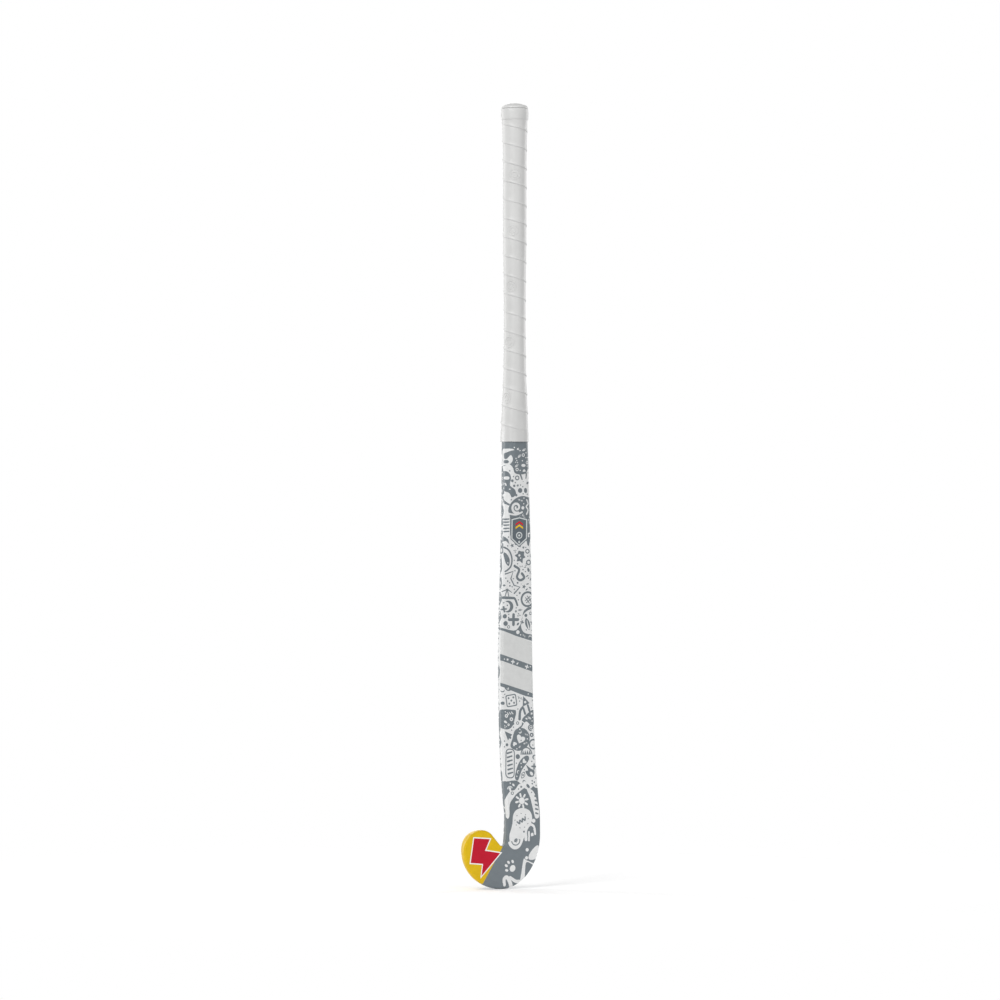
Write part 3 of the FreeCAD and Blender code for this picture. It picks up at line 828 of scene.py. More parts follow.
def paint_edges_and_back():
    """The same print runs on round both edges and over the back."""
    draws = random.Random(20)
    small = [disc, ring, star, drop, moon, plus, bean, trio, heart, zigzag, wave, spiral, leaf]
    large = [star, heart, paw, spiral, moon, flower, mushroom, fish, eye, sun, bone, cloud, flame, die,
             target, arrow, leaf, fork, lattice, tally, splat, ring]
    # slate islands on the back
    for row in range(13):
        side = 1 if row % 2 else -1
        wide = 11 + draws.uniform(-2, 3)
        face_shape(lump(draws, side * 7, 478 - 37 * row, wide, 16, 10, 0.8, 1.15), "slate", back=True)
    # and smaller ones down each edge
    share_painted = 0.75
    for row in range(27):
        for side in (-1, 1):
            if draws.random() < share_painted:
                paint(lump(draws, 58 + 21 * row, side * 28, 9, 5.5, 8, 0.7, 1.2), "slate")
    # doodles down each edge
    for side in (-1, 1):
        along = 40.0
        while along < TURN_END - 8:
            motif = draws.choice(small)(draws.uniform(2.0, 3.1))
            draw_on_edge(motif, along, side * draws.uniform(26.0, 30.0), draws.uniform(0, 360))
            along += draws.uniform(6.0, 8.5)
    # doodles over the back, in staggered rows
    inset_x, spread = 5.5, 12.0
    for row in range(41):
        height = 520 - 12.6 * row
        on_shaft = height > STICK_PROFILE[0][0]
        toe_x, heel_x = smooth_row(STICK_PROFILE, height)[:2] if on_shaft else (-62 + height * 0.6, 12)
        start = toe_x + inset_x + (row % 2) * spread / 2
        for k in range(int((heel_x - inset_x - start) / spread) + 1):
            size = draws.uniform(3.6, 5.2)
            motif = draws.choice(large)(size)
            draw(motif, start + k * spread, height + draws.uniform(-1.5, 1.5), draws.uniform(-50, 50),
                 back=True)


def colours_at(spots):
    """Colours of the print so far, at many places."""
    colours = np.full(len(spots), "pale", dtype=object)
    for layer, colour, outline, box in painted:
        near = np.nonzero((spots[:, 0] > box[0]) & (spots[:, 1] > box[1])
                          & (spots[:, 0] < box[2]) & (spots[:, 1] < box[3]))[0]
        if layer == PRINT and len(near):
            colours[near[inside(spots[near], outline)]] = colour
    return colours


FILL_SIZES, FILL_TRIES = (2.9, 2.0, 1.1), 1500
FILL_ACROSS, FILL_HEIGHTS = (-20, 20), (112, 520)


def fill_gaps():
    """Small marks wherever the face is still bare, so that it is as full as a hand-drawn print."""
    draws = random.Random(7)
    small = [disc, ring, star, drop, moon, plus, bean, heart, leaf, trio, zigzag]
    around_it = [on_ellipse((0, 0), (1.0, 1.0), angle) for angle in range(0, 360, 30)]
    around_it += [on_ellipse((0, 0), (0.5, 0.5), angle) for angle in range(15, 375, 60)]
    for size in FILL_SIZES:
        reach = size + 1.0
        centres = [(draws.uniform(*FILL_ACROSS), draws.uniform(*FILL_HEIGHTS)) for _ in range(FILL_TRIES)]
        spots = unroll([(x + reach * a, height + reach * b) for x, height in centres for a, b in around_it])
        colours = colours_at(np.array(spots)).reshape(len(centres), -1)
        placed = []
        for (x, height), found in zip(centres, colours):
            bare = found[0] != "band" and all(found == found[0])
            if bare and all(math.dist((x, height), other) > 2 * reach for other in placed):
                placed.append((x, height))
                motif = draws.choice(small)(size) if size > 1.5 else disc(0.8)
                draw(motif, x, height, draws.uniform(0, 360), ground=found[0])


def shrink(points, distance):
    """The outline set in by a distance, for a line that runs round it."""
    area = sum(a[0] * b[1] - b[0] * a[1] for a, b in zip(points, points[1:] + points[:1]))
    turn = 1 if area > 0 else -1
    result = []
    for k, (x, y) in enumerate(points):
        px, py = points[k - 1]
        nx, ny = points[(k + 1) % len(points)]
        a = math.dist((px, py), (x, y))
        b = math.dist((nx, ny), (x, y))
        n1 = (-(y - py) / a * turn, (x - px) / a * turn)
        n2 = (-(ny - y) / b * turn, (nx - x) / b * turn)
        scale = distance / max(1 + n1[0] * n2[0] + n1[1] * n2[1], 0.25)
        result.append((x + (n1[0] + n2[0]) * scale, y + (n1[1] + n2[1]) * scale))
    return result


def paint_decals():
    face_shape(EMBLEM_OUTLINE, "white", EMBLEM)
    face_shape(shrink(EMBLEM_OUTLINE, 1.3), "red", EMBLEM)
    face_shape(CREST_OUTLINE, "crest dark", CREST)
    for distance, colour in ((1.0, "crest line"), (2.4, "crest dark")):
        face_shape(shrink(CREST_OUTLINE, distance), colour, CREST)
    # a generic badge: two chevrons, a ring with a ball in it, and a lozenge
    for height, colour in ((427.5, "crest red"), (423.6, "crest yellow")):
        face_shape([(-4.5, height), (0.5, height + 3.2), (5.5, height), (5.5, height + 2.2),
                    (0.5, height + 5.4), (-4.5, height + 2.2)], colour, CREST)
    for radius, colour in ((4.2, "crest line"), (2.9, "crest dark"), (1.3, "crest line")):
        face_shape(oval(radius, None, 0.5, 416.0), colour, CREST)
    face_shape([(0.5, 410.0), (2.0, 408.2), (0.5, 406.4), (-1.0, 408.2)], "crest line", CREST)


def toe_border():
    """Where the line between the toe and the print crosses the skin, at each place around it."""
    step = 0.5
    arounds = np.linspace(-SKIN_HALF, SKIN_HALF, 109)
    alongs = np.arange(SHAFT_END + TURN_LENGTH * BORDER_TURN / CROTCH_TURN, SKIN_END, step)
    grid_along, grid_around = np.meshgrid(alongs, arounds)
    points = skin_point(grid_along, grid_around)
    (ax, az), (bx, bz) = TOE_LINE_TOP, TOE_LINE_BOTTOM
    past = (bx - ax) * (points[..., 2] - az) - (bz - az) * (points[..., 0] - ax)
    first = np.maximum(np.argmax(past < 0, axis=1), 1)
    rows = np.arange(len(arounds))
    share = np.clip(past[rows, first - 1] / (past[rows, first - 1] - past[rows, first]), 0.0, 1.0)
    return list(zip(alongs[first - 1] + step * share, arounds))


# ---- materials -----------------------------------------------------------------------------------------

def colour_value(red, green, blue):
    """Linear colour from the usual 0 to 255 values."""
    def linear(value):
        value /= 255
        return value / 12.92 if value <= 0.04045 else ((value + 0.055) / 1.055) ** 2.4
    return (linear(red), linear(green), linear(blue), 1.0)


COAT_ROUGHNESS = 0.12


def finish_of(name, colour, rough, *, mottle=0.05, mottle_scale=90.0, grain=600.0, grain_depth=0.00003,
              rough_spread=0.08, coat=0.0, shine=0.5, sheen=0.0):
    """A surface whose colour, roughness and fine relief all vary a little, as a moulded one's do."""
    material = bpy.data.materials.new(name)
    material.use_nodes = True
    material.diffuse_color = colour
    nodes, links = material.node_tree.nodes, material.node_tree.links
    shader = nodes["Principled BSDF"]
    place = nodes.new("ShaderNodeTexCoord")

    def noise(size, detail):
        node = nodes.new("ShaderNodeTexNoise")
        node.inputs["Scale"].default_value = size
        node.inputs["Detail"].default_value = detail
        links.new(place.outputs["Object"], node.inputs["Vector"])
        return node

    broad = noise(mottle_scale, 4.0)
    ramp = nodes.new("ShaderNodeValToRGB")
    for element, position, shade in zip(ramp.color_ramp.elements, (0.3, 0.7), (1 - mottle, 1 + mottle)):
        element.position = position
        element.color = [min(c * shade, 1.0) for c in colour[:3]] + [1.0]
    links.new(broad.outputs["Fac"], ramp.inputs["Fac"])
    links.new(ramp.outputs["Color"], shader.inputs["Base Color"])

    fine = noise(grain, 3.0)
    spread = nodes.new("ShaderNodeMapRange")
    spread.inputs["To Min"].default_value = max(rough - rough_spread, 0.02)
    spread.inputs["To Max"].default_value = min(rough + rough_spread, 1.0)
    links.new(fine.outputs["Fac"], spread.inputs["Value"])
    links.new(spread.outputs["Result"], shader.inputs["Roughness"])
    bump = nodes.new("ShaderNodeBump")
    bump.inputs["Distance"].default_value = grain_depth
    links.new(fine.outputs["Fac"], bump.inputs["Height"])
    links.new(bump.outputs["Normal"], shader.inputs["Normal"])
    for socket, value in (("Specular IOR Level", shine), ("Coat Weight", coat),
                          ("Coat Roughness", COAT_ROUGHNESS), ("Sheen Weight", sheen)):
        shader.inputs[socket].default_value = value
    return material


def lacquered(name, colour, mottle=0.04):
    """Printed film under clear lacquer, with a faint orange-peel surface."""
    return finish_of(name, colour, 0.4, mottle=mottle, mottle_scale=140.0, grain=420.0,
                     grain_depth=0.000012, coat=0.05, shine=0.25)


SKIN_COLOURS = {
    "slate": (114, 122, 127),
    "pale": (222, 223, 223),
    "band": (209, 210, 209),
    "yellow": (216, 178, 0),
    "white": (238, 238, 236),
    "red": (186, 0, 38),
    "crest dark": (96, 105, 111),
    "crest line": (206, 210, 210),
    "crest red": (204, 30, 44),
    "crest yellow": (236, 190, 20),
}

CAD_FINISHES = {
    "composite_shell": ("carbon laminate", (38, 40, 43), 0.42, 500.0),
    "web_spar": ("carbon rib", (34, 36, 39), 0.45, 500.0),
    "air_tube_toe_side": ("nylon tube", (188, 190, 178), 0.5, 300.0),
    "air_tube_heel_side": ("nylon tube", (188, 190, 178), 0.5, 300.0),
    "head_core": ("head foam", (214, 198, 150), 0.85, 900.0),
    "aramid_head_sock": ("aramid weave", (186, 150, 62), 0.7, 1100.0),
    "handle_plug": ("handle foam", (206, 192, 156), 0.85, 900.0),
    "handle_foam_sleeve": ("moulded foam", (60, 62, 64), 0.75, 900.0),
    "underwrap_tape": ("base tape", (212, 206, 186), 0.6, 700.0),
    "butt_ring": ("butt rubber", (44, 44, 45), 0.7, 800.0),
}


def dress_cad_nodes():
    made = {}
    for node, (name, rgb, rough, grain) in CAD_FINISHES.items():
        if name not in made:
            made[name] = finish_of(name, colour_value(*rgb), rough, mottle=0.1, grain=grain,
                                   grain_depth=0.00006)
        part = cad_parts[node]
        if not part.material_slots:
            part.data.materials.append(made[name])
        for slot in part.material_slots:
            slot.material = made[name]


# ---- meshes ----------------------------------------------------------------------------------------------

def add_object(name, data):
    made = bpy.data.objects.new(name, data)
    bpy.context.scene.collection.objects.link(made)
    return made


def new_piece(name, points, faces, materials, nodes, indices=None, loop_normals=None):
    mesh = bpy.data.meshes.new(name)
    mesh.from_pydata([tuple(p) for p in points], [], [tuple(int(i) for i in face) for face in faces])
    for material in materials:
        mesh.materials.append(material)
    if indices is not None:
        mesh.polygons.foreach_set("material_index", np.array(indices, dtype=np.int32))
    mesh.polygons.foreach_set("use_smooth", np.ones(len(mesh.polygons), dtype=bool))
    mesh.update()
    if loop_normals is not None:
        mesh.normals_split_custom_set([tuple(n) for n in loop_normals])
    piece = add_object(name, mesh)
    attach(piece, BODY)
    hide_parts(*nodes)
    return piece


def skin_grid():
    """Plain points that keep the curved skin's triangles small."""
    front = np.linspace(0.0, 16.0, 9)
    corner = np.linspace(16.8, 23.2, 9)
    back = np.linspace(24.6, SKIN_HALF, 13)
    reach = np.concatenate([front, corner, back])
    columns = np.concatenate([-reach[:0:-1], reach])
    rows = np.linspace(0.0, SKIN_END, 233)
    return [(along, around) for along in rows for around in columns]


def cut_skin():
    """Triangles of the unrolled skin, cut along every painted outline, with each one's layer and colour."""
    border = toe_border()
    far = SKIN_END + 5.0
    toe = ([(border[0][0], -SKIN_HALF - 2.0)] + border + [(border[-1][0], SKIN_HALF + 2.0)]
           + [(far, SKIN_HALF + 2.0), (far, -SKIN_HALF - 2.0)])
    regions = [
        (TOE, "yellow", toe), (EMBLEM, "white", unroll(dense(EMBLEM_OUTLINE))),
        (CREST, "crest dark", unroll(dense(CREST_OUTLINE))),
    ]
    frame_line = [(0.0, -SKIN_HALF), (SKIN_END, -SKIN_HALF), (SKIN_END, SKIN_HALF), (0.0, SKIN_HALF)]
    places = [Vector(place) for place in skin_grid()]
    edges = []
    for outline in [frame_line] + [region[2] for region in regions] + [shape[2] for shape in painted]:
        first = len(places)
        places += [Vector(place) for place in outline]
        edges += [(first + k, first + (k + 1) % len(outline)) for k in range(len(outline))]
    found = delaunay_2d_cdt(places, edges, [], 0, 1e-4, False)
    spots = np.array([tuple(v) for v in found[0]])
    triangles = np.array([tuple(face) for face in found[2]])
    middles = spots[triangles].mean(axis=1)
    kept = ((middles[:, 0] > 0) & (middles[:, 0] < SKIN_END) & (np.abs(middles[:, 1]) < SKIN_HALF))
    triangles, middles = triangles[kept], middles[kept]
    layers = np.full(len(triangles), PRINT, dtype=object)
    colours = np.full(len(triangles), "pale", dtype=object)

    def within(outline):
        corners = np.array(outline)
        low, high = corners.min(axis=0), corners.max(axis=0)
        near = np.nonzero(((middles > low) & (middles < high)).all(axis=1))[0]
        return near[inside(middles[near], outline)]

    for layer, colour, outline in regions:
        hit = within(outline)
        layers[hit] = layer
        colours[hit] = colour
    for layer, colour, outline, box in painted:
        hit = within(outline)
        hit = hit[layers[hit] == layer]
        colours[hit] = colour
    return spots, triangles, layers, colours


def make_skin():
    """The film, the toe film and the two decals, as four thin closed pieces in one skin."""
    spots, triangles, layers, colours = cut_skin()
    along = np.clip(spots[:, 0], 0.0, SKIN_END)
    around = np.clip(spots[:, 1], -SKIN_HALF, SKIN_HALF)
    points = skin_point(along, around)
    normals = skin_normal(along, around)
    # the two sides of the seam down the back become one line
    _, first, joined = np.unique(np.round(points, 4), axis=0, return_index=True, return_inverse=True)
    points, normals, along = points[first], normals[first], along[first]
    triangles = joined.reshape(-1)[triangles]
    # the last ring is closed over the toe's tip
    at_tip = along > SKIN_END - 1e-6
    ring_points = np.nonzero(at_tip)[0]
    centre = points[ring_points].mean(axis=0)
    tip = len(points)
    points = np.vstack([points, centre])
    normals = np.vstack([normals, normals[ring_points].mean(axis=0) + [1e-6, 0, 0]])
    open_edges = lone_edges(triangles)
    lid = [(b, a, tip) for a, b in open_edges if at_tip[a] and at_tip[b]]
    triangles = np.vstack([triangles, np.array(lid, dtype=triangles.dtype).reshape(-1, 3)])
    layers = np.concatenate([layers, np.full(len(lid), TOE, dtype=object)])
    colours = np.concatenate([colours, np.full(len(lid), "yellow", dtype=object)])
    distinct = ((triangles[:, 0] != triangles[:, 1]) & (triangles[:, 1] != triangles[:, 2])
                & (triangles[:, 0] != triangles[:, 2]))
    triangles, layers, colours = triangles[distinct], layers[distinct], colours[distinct]
    corners = points[triangles]
    facing = np.cross(corners[:, 1] - corners[:, 0], corners[:, 2] - corners[:, 0])
    wrong = (facing * normals[triangles].sum(axis=1)).sum(axis=1) < 0
    triangles[wrong] = triangles[wrong][:, ::-1]

    materials = {name: lacquered(name + " print", colour_value(*rgb)) for name, rgb in SKIN_COLOURS.items()}
    for layer, name, slot, node, used in (
        (PRINT, "doodle_film", "print", "shaft_print_film", ["slate", "pale", "band"]),
        (TOE, "yellow_toe_film", "toe_yellow", "toe_film", ["yellow"]),
        (EMBLEM, "toe_bolt_decal", "emblem_red", "toe_emblem", ["red", "white"]),
        (CREST, "shield_decal", "crest", "crest_decal",
         ["crest dark", "crest line", "crest red", "crest yellow"]),
    ):
        mine = layers == layer
        index = np.array([used.index(c) for c in colours[mine]])
        film_piece(name, node, points, normals, triangles[mine], index, [materials[c] for c in used])


def lone_edges(triangles):
    """Edges that only one triangle has, in that triangle's direction."""
    edges = np.vstack([triangles[:, [0, 1]], triangles[:, [1, 2]], triangles[:, [2, 0]]])
    _, where, counts = np.unique(np.sort(edges, axis=1), axis=0, return_index=True, return_counts=True)
    return edges[where[counts == 1]]


def film_piece(name, node, points, normals, triangles, index, materials):
    """One thin closed sheet: the outside, the inside and the walls along its edges."""
    used, small = np.unique(triangles, return_inverse=True)
    outer_faces = small.reshape(-1, 3)
    count = len(used)
    outside = points[used]
    outward = normals[used]
    inside_points = outside - outward * FILM_THICKNESS
    inner_faces = outer_faces[:, ::-1] + count
    rim = lone_edges(outer_faces)
    walls = np.stack([rim[:, 1], rim[:, 0], rim[:, 0] + count, rim[:, 1] + count], axis=1)
    everything = np.vstack([outside, inside_points])
    wall_out = np.cross(everything[walls[:, 1]] - everything[walls[:, 0]],
                        everything[walls[:, 3]] - everything[walls[:, 0]])
    wall_out /= np.maximum(np.linalg.norm(wall_out, axis=1, keepdims=True), 1e-9)
    loop_normals = np.vstack([outward[outer_faces.ravel()], -outward[(inner_faces - count).ravel()],
                              np.repeat(wall_out, 4, axis=0),])
    faces = [*outer_faces.tolist(), *inner_faces.tolist(), *walls.tolist()]
    wall_index = np.zeros(len(walls), dtype=int)
    new_piece(name, to_frame(*everything.T), faces, materials, [node],
              np.concatenate([index, index, wall_index]), loop_normals)


# ---- grip, finishing tape and end cap ----------------------------------------------------------------------

GRIP_PITCH = 22.2
FIRST_SEAM = 899.7            # height of the first seam, where it passes SEAM_ANGLE
SEAM_ANGLE = -62.0            # degrees from the middle of the face towards the toe side
TURN_STEPS = 96
WRAP_TOP = 907.6
# One turn of the strip, from under the turn above down to its own lower edge: share of the pitch
# below the seam, and how far the surface stands out.
STRIP_PROFILE = [(0.0, -0.12), (0.03, -0.1), (0.08, -0.04), (0.15, 0.0), (0.4, 0.05), (0.7, 0.08),
                 (0.855, 0.1), (0.88, 0.26), (0.91, 0.54), (0.935, 0.64), (0.965, 0.6), (0.985, 0.44),
                 (0.995, 0.2), (1.0, 0.0),]
FIRST_MARK, MARK_SPACING, MARKS = 2.09, 2.97, 5     # turns of the strip between its moulded rings
MARK_RADII = (6.0, 3.2)
SMOOTH_FOOT = (536.0, 548.0)  # the strip's edges sink flat towards the finishing tape


def grip_oval(height):
    """Half width, half depth and middle of the wrapped handle."""
    wide, deep = smooth_row(GRIP_PROFILE, height)
    thickness, face_y = smooth_row(STICK_PROFILE, height)[2:4]
    top = GRIP_PROFILE[-1][0]
    share = clamp((height - top) / (COLLAR_BOTTOM - top))
    middle = face_y + thickness / 2
    return (mix(wide / 2, COLLAR_RADIUS - 0.3, share), mix(deep / 2, COLLAR_RADIUS - 0.3, share),
            mix(middle, 0.0, share))


def round_point(height, degrees, outset):
    """Point on the handle's surface: 0 degrees is the middle of the face, plus is towards the heel side."""
    half_wide, half_deep, middle = grip_oval(height)
    share = clamp((height - GRIP_BOTTOM) / (GRIP_ROUND_ABOVE - GRIP_BOTTOM))
    power = 2 / mix(GRIP_FULLNESS, 2.0, share)
    across, back = math.sin(math.radians(degrees)), -math.cos(math.radians(degrees))
    return ((half_wide + outset) * math.copysign(abs(across) ** power, across),
            middle + (half_deep + outset) * math.copysign(abs(back) ** power, back), height)


def lathe(profile, steps=72, first_vertex=0):
    """Closed ring of revolution round the handle's axis, from a closed (radius, height) outline."""
    points, faces = [], []
    count = len(profile)
    for step in range(steps):
        angle = 2 * math.pi * step / steps
        points += [(radius * math.sin(angle), -radius * math.cos(angle), height) for radius,
                   height in profile]
    for step in range(steps):
        here, there = first_vertex + step * count, first_vertex + (step + 1) % steps * count
        for k in range(count):
            after = (k + 1) % count
            faces.append((here + k, there + k, there + after, here + after))
    return points, faces


MERGE = 2e-6                  # metres between points that are the same point


def solid_piece(name, points, faces, material, node, sharp_degrees=40, merge=MERGE):
    """A closed piece, from points in millimetres: doubled points joined, and its sharp edges marked."""
    mesh = new_piece(name, to_frame(*np.array(points).T), faces, [material], [node]).data
    work = bmesh.new()
    work.from_mesh(mesh)
    bmesh.ops.remove_doubles(work, verts=work.verts, dist=merge)
    bmesh.ops.dissolve_degenerate(work, edges=work.edges, dist=merge)
    bmesh.ops.recalc_face_normals(work, faces=work.faces)
    for edge in work.edges:
        if len(edge.link_faces) == 2 and edge.calc_face_angle(0.0) > math.radians(sharp_degrees):
            edge.smooth = False
    work.to_mesh(mesh)
    work.free()


def grip_material():
    """Soft polyurethane strip: fine pores, satin, a little grey all over."""
    return finish_of("cushion grip", colour_value(206, 206, 205), 0.4, mottle=0.03, mottle_scale=60.0,
                     grain=1500.0, grain_depth=0.00004, sheen=0.1)


def raised_ring(turn, radius, first_vertex):
    """A plain ring moulded on the strip: a low closed band, halfway between two seams."""
    band = [(-0.75, -0.3), (-0.4, 0.42), (0.4, 0.42), (0.75, -0.3)]     # across the band, outwards
    count = len(band)
    middle = FIRST_SEAM - GRIP_PITCH * (turn + 0.5)
    points, faces = [], []
    steps = 32
    for step in range(steps):
        angle = 2 * math.pi * step / steps
        for across, outset in band:
            reach = radius + across
            aside = math.degrees(reach * math.cos(angle) / grip_oval(middle)[0])
            points.append(round_point(middle + reach * math.sin(angle), SEAM_ANGLE + 360 * turn + aside,
                                      outset))
    for step in range(steps):
        here, there = first_vertex + step * count, first_vertex + (step + 1) % steps * count
        faces += [(here + k, here + (k + 1) % count, there + (k + 1) % count, there + k)
                  for k in range(count)]
    return points, faces


def make_grip():
    """The cushion strip, wound down the handle as one left-handed helix, and the collar at the butt."""
    points, faces = [], []
    rows = len(STRIP_PROFILE)
    start_turn = -2
    turns = int((FIRST_SEAM - GRIP_BOTTOM) / GRIP_PITCH) + 4
    steps = turns * TURN_STEPS
    for step in range(steps + 1):
        turn = start_turn + step / TURN_STEPS
        degrees = SEAM_ANGLE + 360 * turn
        for share, outset in STRIP_PROFILE:
            height = clamp(FIRST_SEAM - GRIP_PITCH * (turn + share), GRIP_BOTTOM, WRAP_TOP)
            rise = clamp((height - SMOOTH_FOOT[0]) / (SMOOTH_FOOT[1] - SMOOTH_FOOT[0]))
            points.append(round_point(height, degrees, outset * rise * rise * (3 - 2 * rise)))
    for step in range(steps):
        for row in range(rows - 1):
            here, there = step * rows + row, (step + 1) * rows + row
            heights = {round(points[k][2], 4) for k in (here, here + 1, there, there + 1)}
            if len(heights) > 1:
                faces.append((here, here + 1, there + 1, there))
    # the step under each lower edge, down to the turn below
    for step in range(steps - TURN_STEPS):
        edge, edge_next = step * rows + rows - 1, (step + 1) * rows + rows - 1
        below, below_next = (step + TURN_STEPS) * rows, (step + TURN_STEPS + 1) * rows
        if all(WRAP_TOP > points[k][2] > GRIP_BOTTOM + 0.01 for k in (edge, edge_next)):
            faces.append((edge, below, below_next, edge_next))
    # collar: a soft barrel of the same strip, with a lip over the first turn
    barrel = [(14.6, 907.2), (15.3, 907.0), (15.85, 907.4), (16.1, 908.4), (16.2, 910.0), (16.3, 913.0),
              (16.32, 915.5), (16.2, 918.0), (15.95, 919.8), (15.6, 920.5), (15.0, 920.8), (14.6, 920.8)]
    collar_points, collar_faces = lathe(barrel, first_vertex=len(points))
    points += collar_points
    faces += collar_faces
    for mark in range(MARKS):
        for radius in MARK_RADII:
            ring_points, ring_faces = raised_ring(FIRST_MARK + MARK_SPACING * mark, radius, len(points))
            points += ring_points
            faces += ring_faces
    solid_piece("cushion_grip_strip", points, faces, grip_material(), "grip_wrap", sharp_degrees=50)


def make_finishing_tape():
    """Thin vinyl band that closes the foot of the grip."""
    points, faces = [], []
    top = GRIP_BOTTOM + TAPE_HEIGHT
    outline = [(-0.35, GRIP_BOTTOM - 0.3), (FINISHING_TAPE, GRIP_BOTTOM - 0.3),
               (FINISHING_TAPE + 0.12, GRIP_BOTTOM), (FINISHING_TAPE + 0.05, GRIP_BOTTOM + 1.0),
               (FINISHING_TAPE, mix(GRIP_BOTTOM, top, 0.5)), (FINISHING_TAPE + 0.03, top - 1.0),
               (FINISHING_TAPE - 0.02, top), (-0.35, top)]
    count = len(outline)
    steps = TURN_STEPS
    for step in range(steps):
        points += [round_point(height, 360 * step / steps, outset) for outset, height in outline]
        here, there = step * count, (step + 1) % steps * count
        faces += [(here + k, here + (k + 1) % count, there + (k + 1) % count, there + k)
                  for k in range(count)]
    material = finish_of("vinyl tape", colour_value(205, 205, 204), 0.42, mottle=0.02, grain=900.0,
                         grain_depth=0.00002, coat=0.2)
    solid_piece("finishing_tape_band", points, faces, material, "finishing_tape",
                merge=MERGE / 2)


def make_end_cap():
    """Domed cap with a rim, a shadow gap over the collar, a ring groove and a raised centre button."""
    rim_top = GRIP_TOP + CAP_RIM
    groove_radius, groove_depth, button = 10.2, 0.45, 6.4
    outline = [(0.0, CAP_PLUG_BOTTOM), (CAP_PLUG_RADIUS - 1.0, CAP_PLUG_BOTTOM),
               (CAP_PLUG_RADIUS, CAP_PLUG_BOTTOM + 1.0), (CAP_PLUG_RADIUS, GRIP_TOP - 0.1),
               (CAP_RADIUS - 0.9, GRIP_TOP), (CAP_RADIUS - 0.7, GRIP_TOP + 0.25),
               (CAP_RADIUS - 0.1, GRIP_TOP + 0.3), (CAP_RADIUS, GRIP_TOP + 0.5), (CAP_RADIUS, rim_top)]
    for degrees in range(6, 91, 3):
        radius, height = on_ellipse((0, rim_top), (CAP_RADIUS, CAP_DOME), degrees)
        sink = groove_depth * math.exp(-((radius - groove_radius) / 0.7) ** 2)
        raise_button = 0.18 / (1 + math.exp((radius - button) * 4))
        outline.append((max(radius, 0.0), min(height - sink + raise_button - 0.18, STICK_LENGTH)))
    outline[-1] = (0.0, outline[-1][1])
    points, faces = lathe(outline)
    material = finish_of("butt cap", colour_value(206, 206, 205), 0.4, mottle=0.03, grain=1000.0,
                         grain_depth=0.00003)
    solid_piece("domed_end_cap", points, faces, material, "end_cap")


# ---- floor, light and camera -----------------------------------------------------------------------------

FLOOR_RADIUS = 0.95
FADE_START, FADE_END = 0.12, FLOOR_RADIUS * 0.98      # where the floor starts to fade, and has faded
FLOOR_GLOW = 0.12
STUDIO_LIGHT = 0.55           # strength of the white studio on the stick


def make_floor():
    """Pale disc that fades out into the white of the studio."""
    steps = 96
    level = CAD_LOW.z - LIFT / 1000
    points = [(0.0, 0.0, level)]
    points += [(FLOOR_RADIUS * math.cos(2 * math.pi * k / steps),
                FLOOR_RADIUS * math.sin(2 * math.pi * k / steps), level) for k in range(steps)]
    mesh = bpy.data.meshes.new("floor")
    mesh.from_pydata(points, [], [(0, 1 + k, 1 + (k + 1) % steps) for k in range(steps)])
    floor = add_object("floor", mesh)
    material = finish_of("floor", (0.9, 0.9, 0.9, 1.0), 0.9, mottle=0.01, grain=40.0, grain_depth=0.0)
    nodes, links = material.node_tree.nodes, material.node_tree.links
    shader = nodes["Principled BSDF"]
    shader.inputs["Specular IOR Level"].default_value = 0.0
    shader.inputs["Emission Color"].default_value = (1.0, 1.0, 1.0, 1.0)
    shader.inputs["Emission Strength"].default_value = FLOOR_GLOW
    place = nodes.new("ShaderNodeTexCoord")
    length = nodes.new("ShaderNodeVectorMath")
    length.operation = "LENGTH"
    flatten = nodes.new("ShaderNodeVectorMath")
    flatten.operation = "MULTIPLY"
    flatten.inputs[1].default_value = (1.0, 1.0, 0.0)
    fade = nodes.new("ShaderNodeMapRange")
    fade.interpolation_type = "SMOOTHERSTEP"
    fade.inputs["From Min"].default_value = FADE_START
    fade.inputs["From Max"].default_value = FADE_END
    clear = nodes.new("ShaderNodeBsdfTransparent")
    blend = nodes.new("ShaderNodeMixShader")
    links.new(place.outputs["Object"], flatten.inputs[0])
    links.new(flatten.outputs["Vector"], length.inputs[0])
    links.new(length.outputs["Value"], fade.inputs["Value"])
    links.new(fade.outputs["Result"], blend.inputs["Fac"])
    links.new(shader.outputs["BSDF"], blend.inputs[1])
    links.new(clear.outputs["BSDF"], blend.inputs[2])
    links.new(blend.outputs["Shader"], nodes["Material Output"].inputs["Surface"])
    mesh.materials.append(material)


def make_world():
    """White studio: the camera sees pure white, and the stick is lit a little more softly than that."""
    world = bpy.data.worlds.new("studio")
    bpy.context.scene.world = world
    world.use_nodes = True
    nodes, links = world.node_tree.nodes, world.node_tree.links
    background = nodes["Background"]
    background.inputs["Color"].default_value = (1.0, 1.0, 1.0, 1.0)
    path = nodes.new("ShaderNodeLightPath")
    strength = nodes.new("ShaderNodeMapRange")
    strength.inputs["To Min"].default_value = STUDIO_LIGHT
    links.new(path.outputs["Is Camera Ray"], strength.inputs["Value"])
    links.new(strength.outputs["Result"], background.inputs["Strength"])


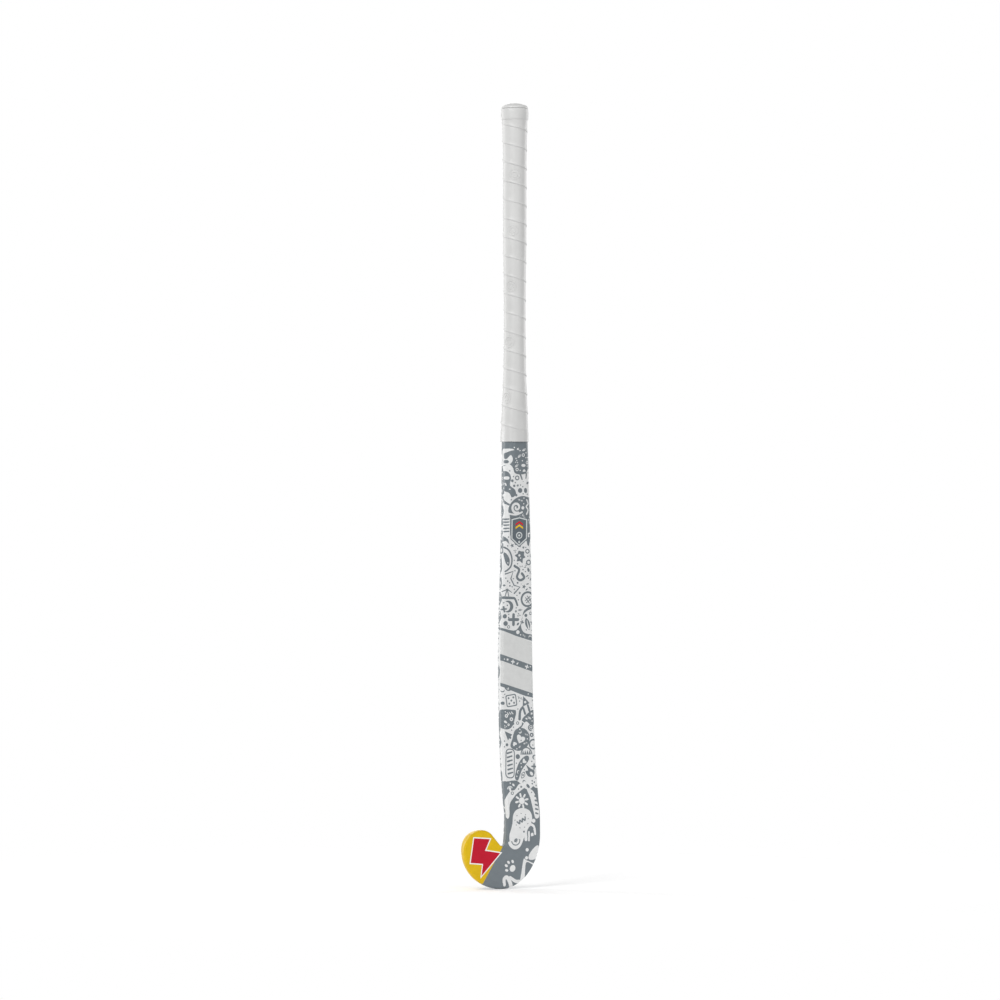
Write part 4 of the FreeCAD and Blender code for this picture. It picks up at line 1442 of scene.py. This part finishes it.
CAMERA_AZIMUTH = -28.0
AIM = Vector((-0.0153, 0.0081, CAD_LOW.z + 0.4578))
FRAME_WIDTH = 1.183
LENS, SENSOR = 200.0, 36.0


def direction(azimuth, elevation):
    a, e = math.radians(azimuth), math.radians(elevation)
    return Vector((math.sin(a) * math.cos(e), -math.cos(a) * math.cos(e), math.sin(e)))


def stand(thing, towards, distance):
    """Puts a lamp or the camera at a distance from the aim, looking at it."""
    thing.location = AIM + towards * distance
    thing.rotation_mode = "QUATERNION"
    thing.rotation_quaternion = towards.to_track_quat("Z", "Y")


def make_lights():
    """Large soft lamps: azimuth, elevation, distance, width, height, watts."""
    for name, azimuth, elevation, distance, wide, tall, watts in (
        ("key", -62.0, 40.0, 2.4, 0.9, 1.4, 20.0),
        ("strip_left", -52.0, 4.0, 2.4, 0.12, 1.8, 5.0),
        ("strip_right", -4.0, 4.0, 2.4, 0.12, 1.8, 5.0),
        ("fill", -12.0, 36.0, 3.0, 1.2, 1.4, 9.0),
        ("rim_toe", -150.0, 8.0, 2.2, 0.5, 1.8, 16.0),
        ("rim_heel", 104.0, 8.0, 2.2, 0.5, 1.8, 16.0),
        ("back", 165.0, 12.0, 2.6, 1.2, 1.8, 12.0),
    ):
        data = bpy.data.lights.new(name, "AREA")
        data.shape = "RECTANGLE"
        data.size = wide
        data.size_y = tall
        data.energy = watts
        stand(add_object(name, data), direction(azimuth, elevation), distance)


def make_camera():
    data = bpy.data.cameras.new("camera")
    data.lens = LENS
    data.sensor_width = SENSOR
    data.clip_start = 0.05
    data.clip_end = 50.0
    camera = add_object("camera", data)
    stand(camera, direction(CAMERA_AZIMUTH, 0.0), FRAME_WIDTH * LENS / SENSOR)
    bpy.context.scene.camera = camera


# ---- everything --------------------------------------------------------------------------------------------

bpy.context.scene.view_settings.view_transform = "Standard"
paint_ground()
paint_edges_and_back()
paint_front()
paint_badge()
fill_gaps()
paint_decals()
make_skin()
make_grip()
make_finishing_tape()
make_end_cap()
dress_cad_nodes()
make_floor()
make_world()
make_lights()
make_camera()
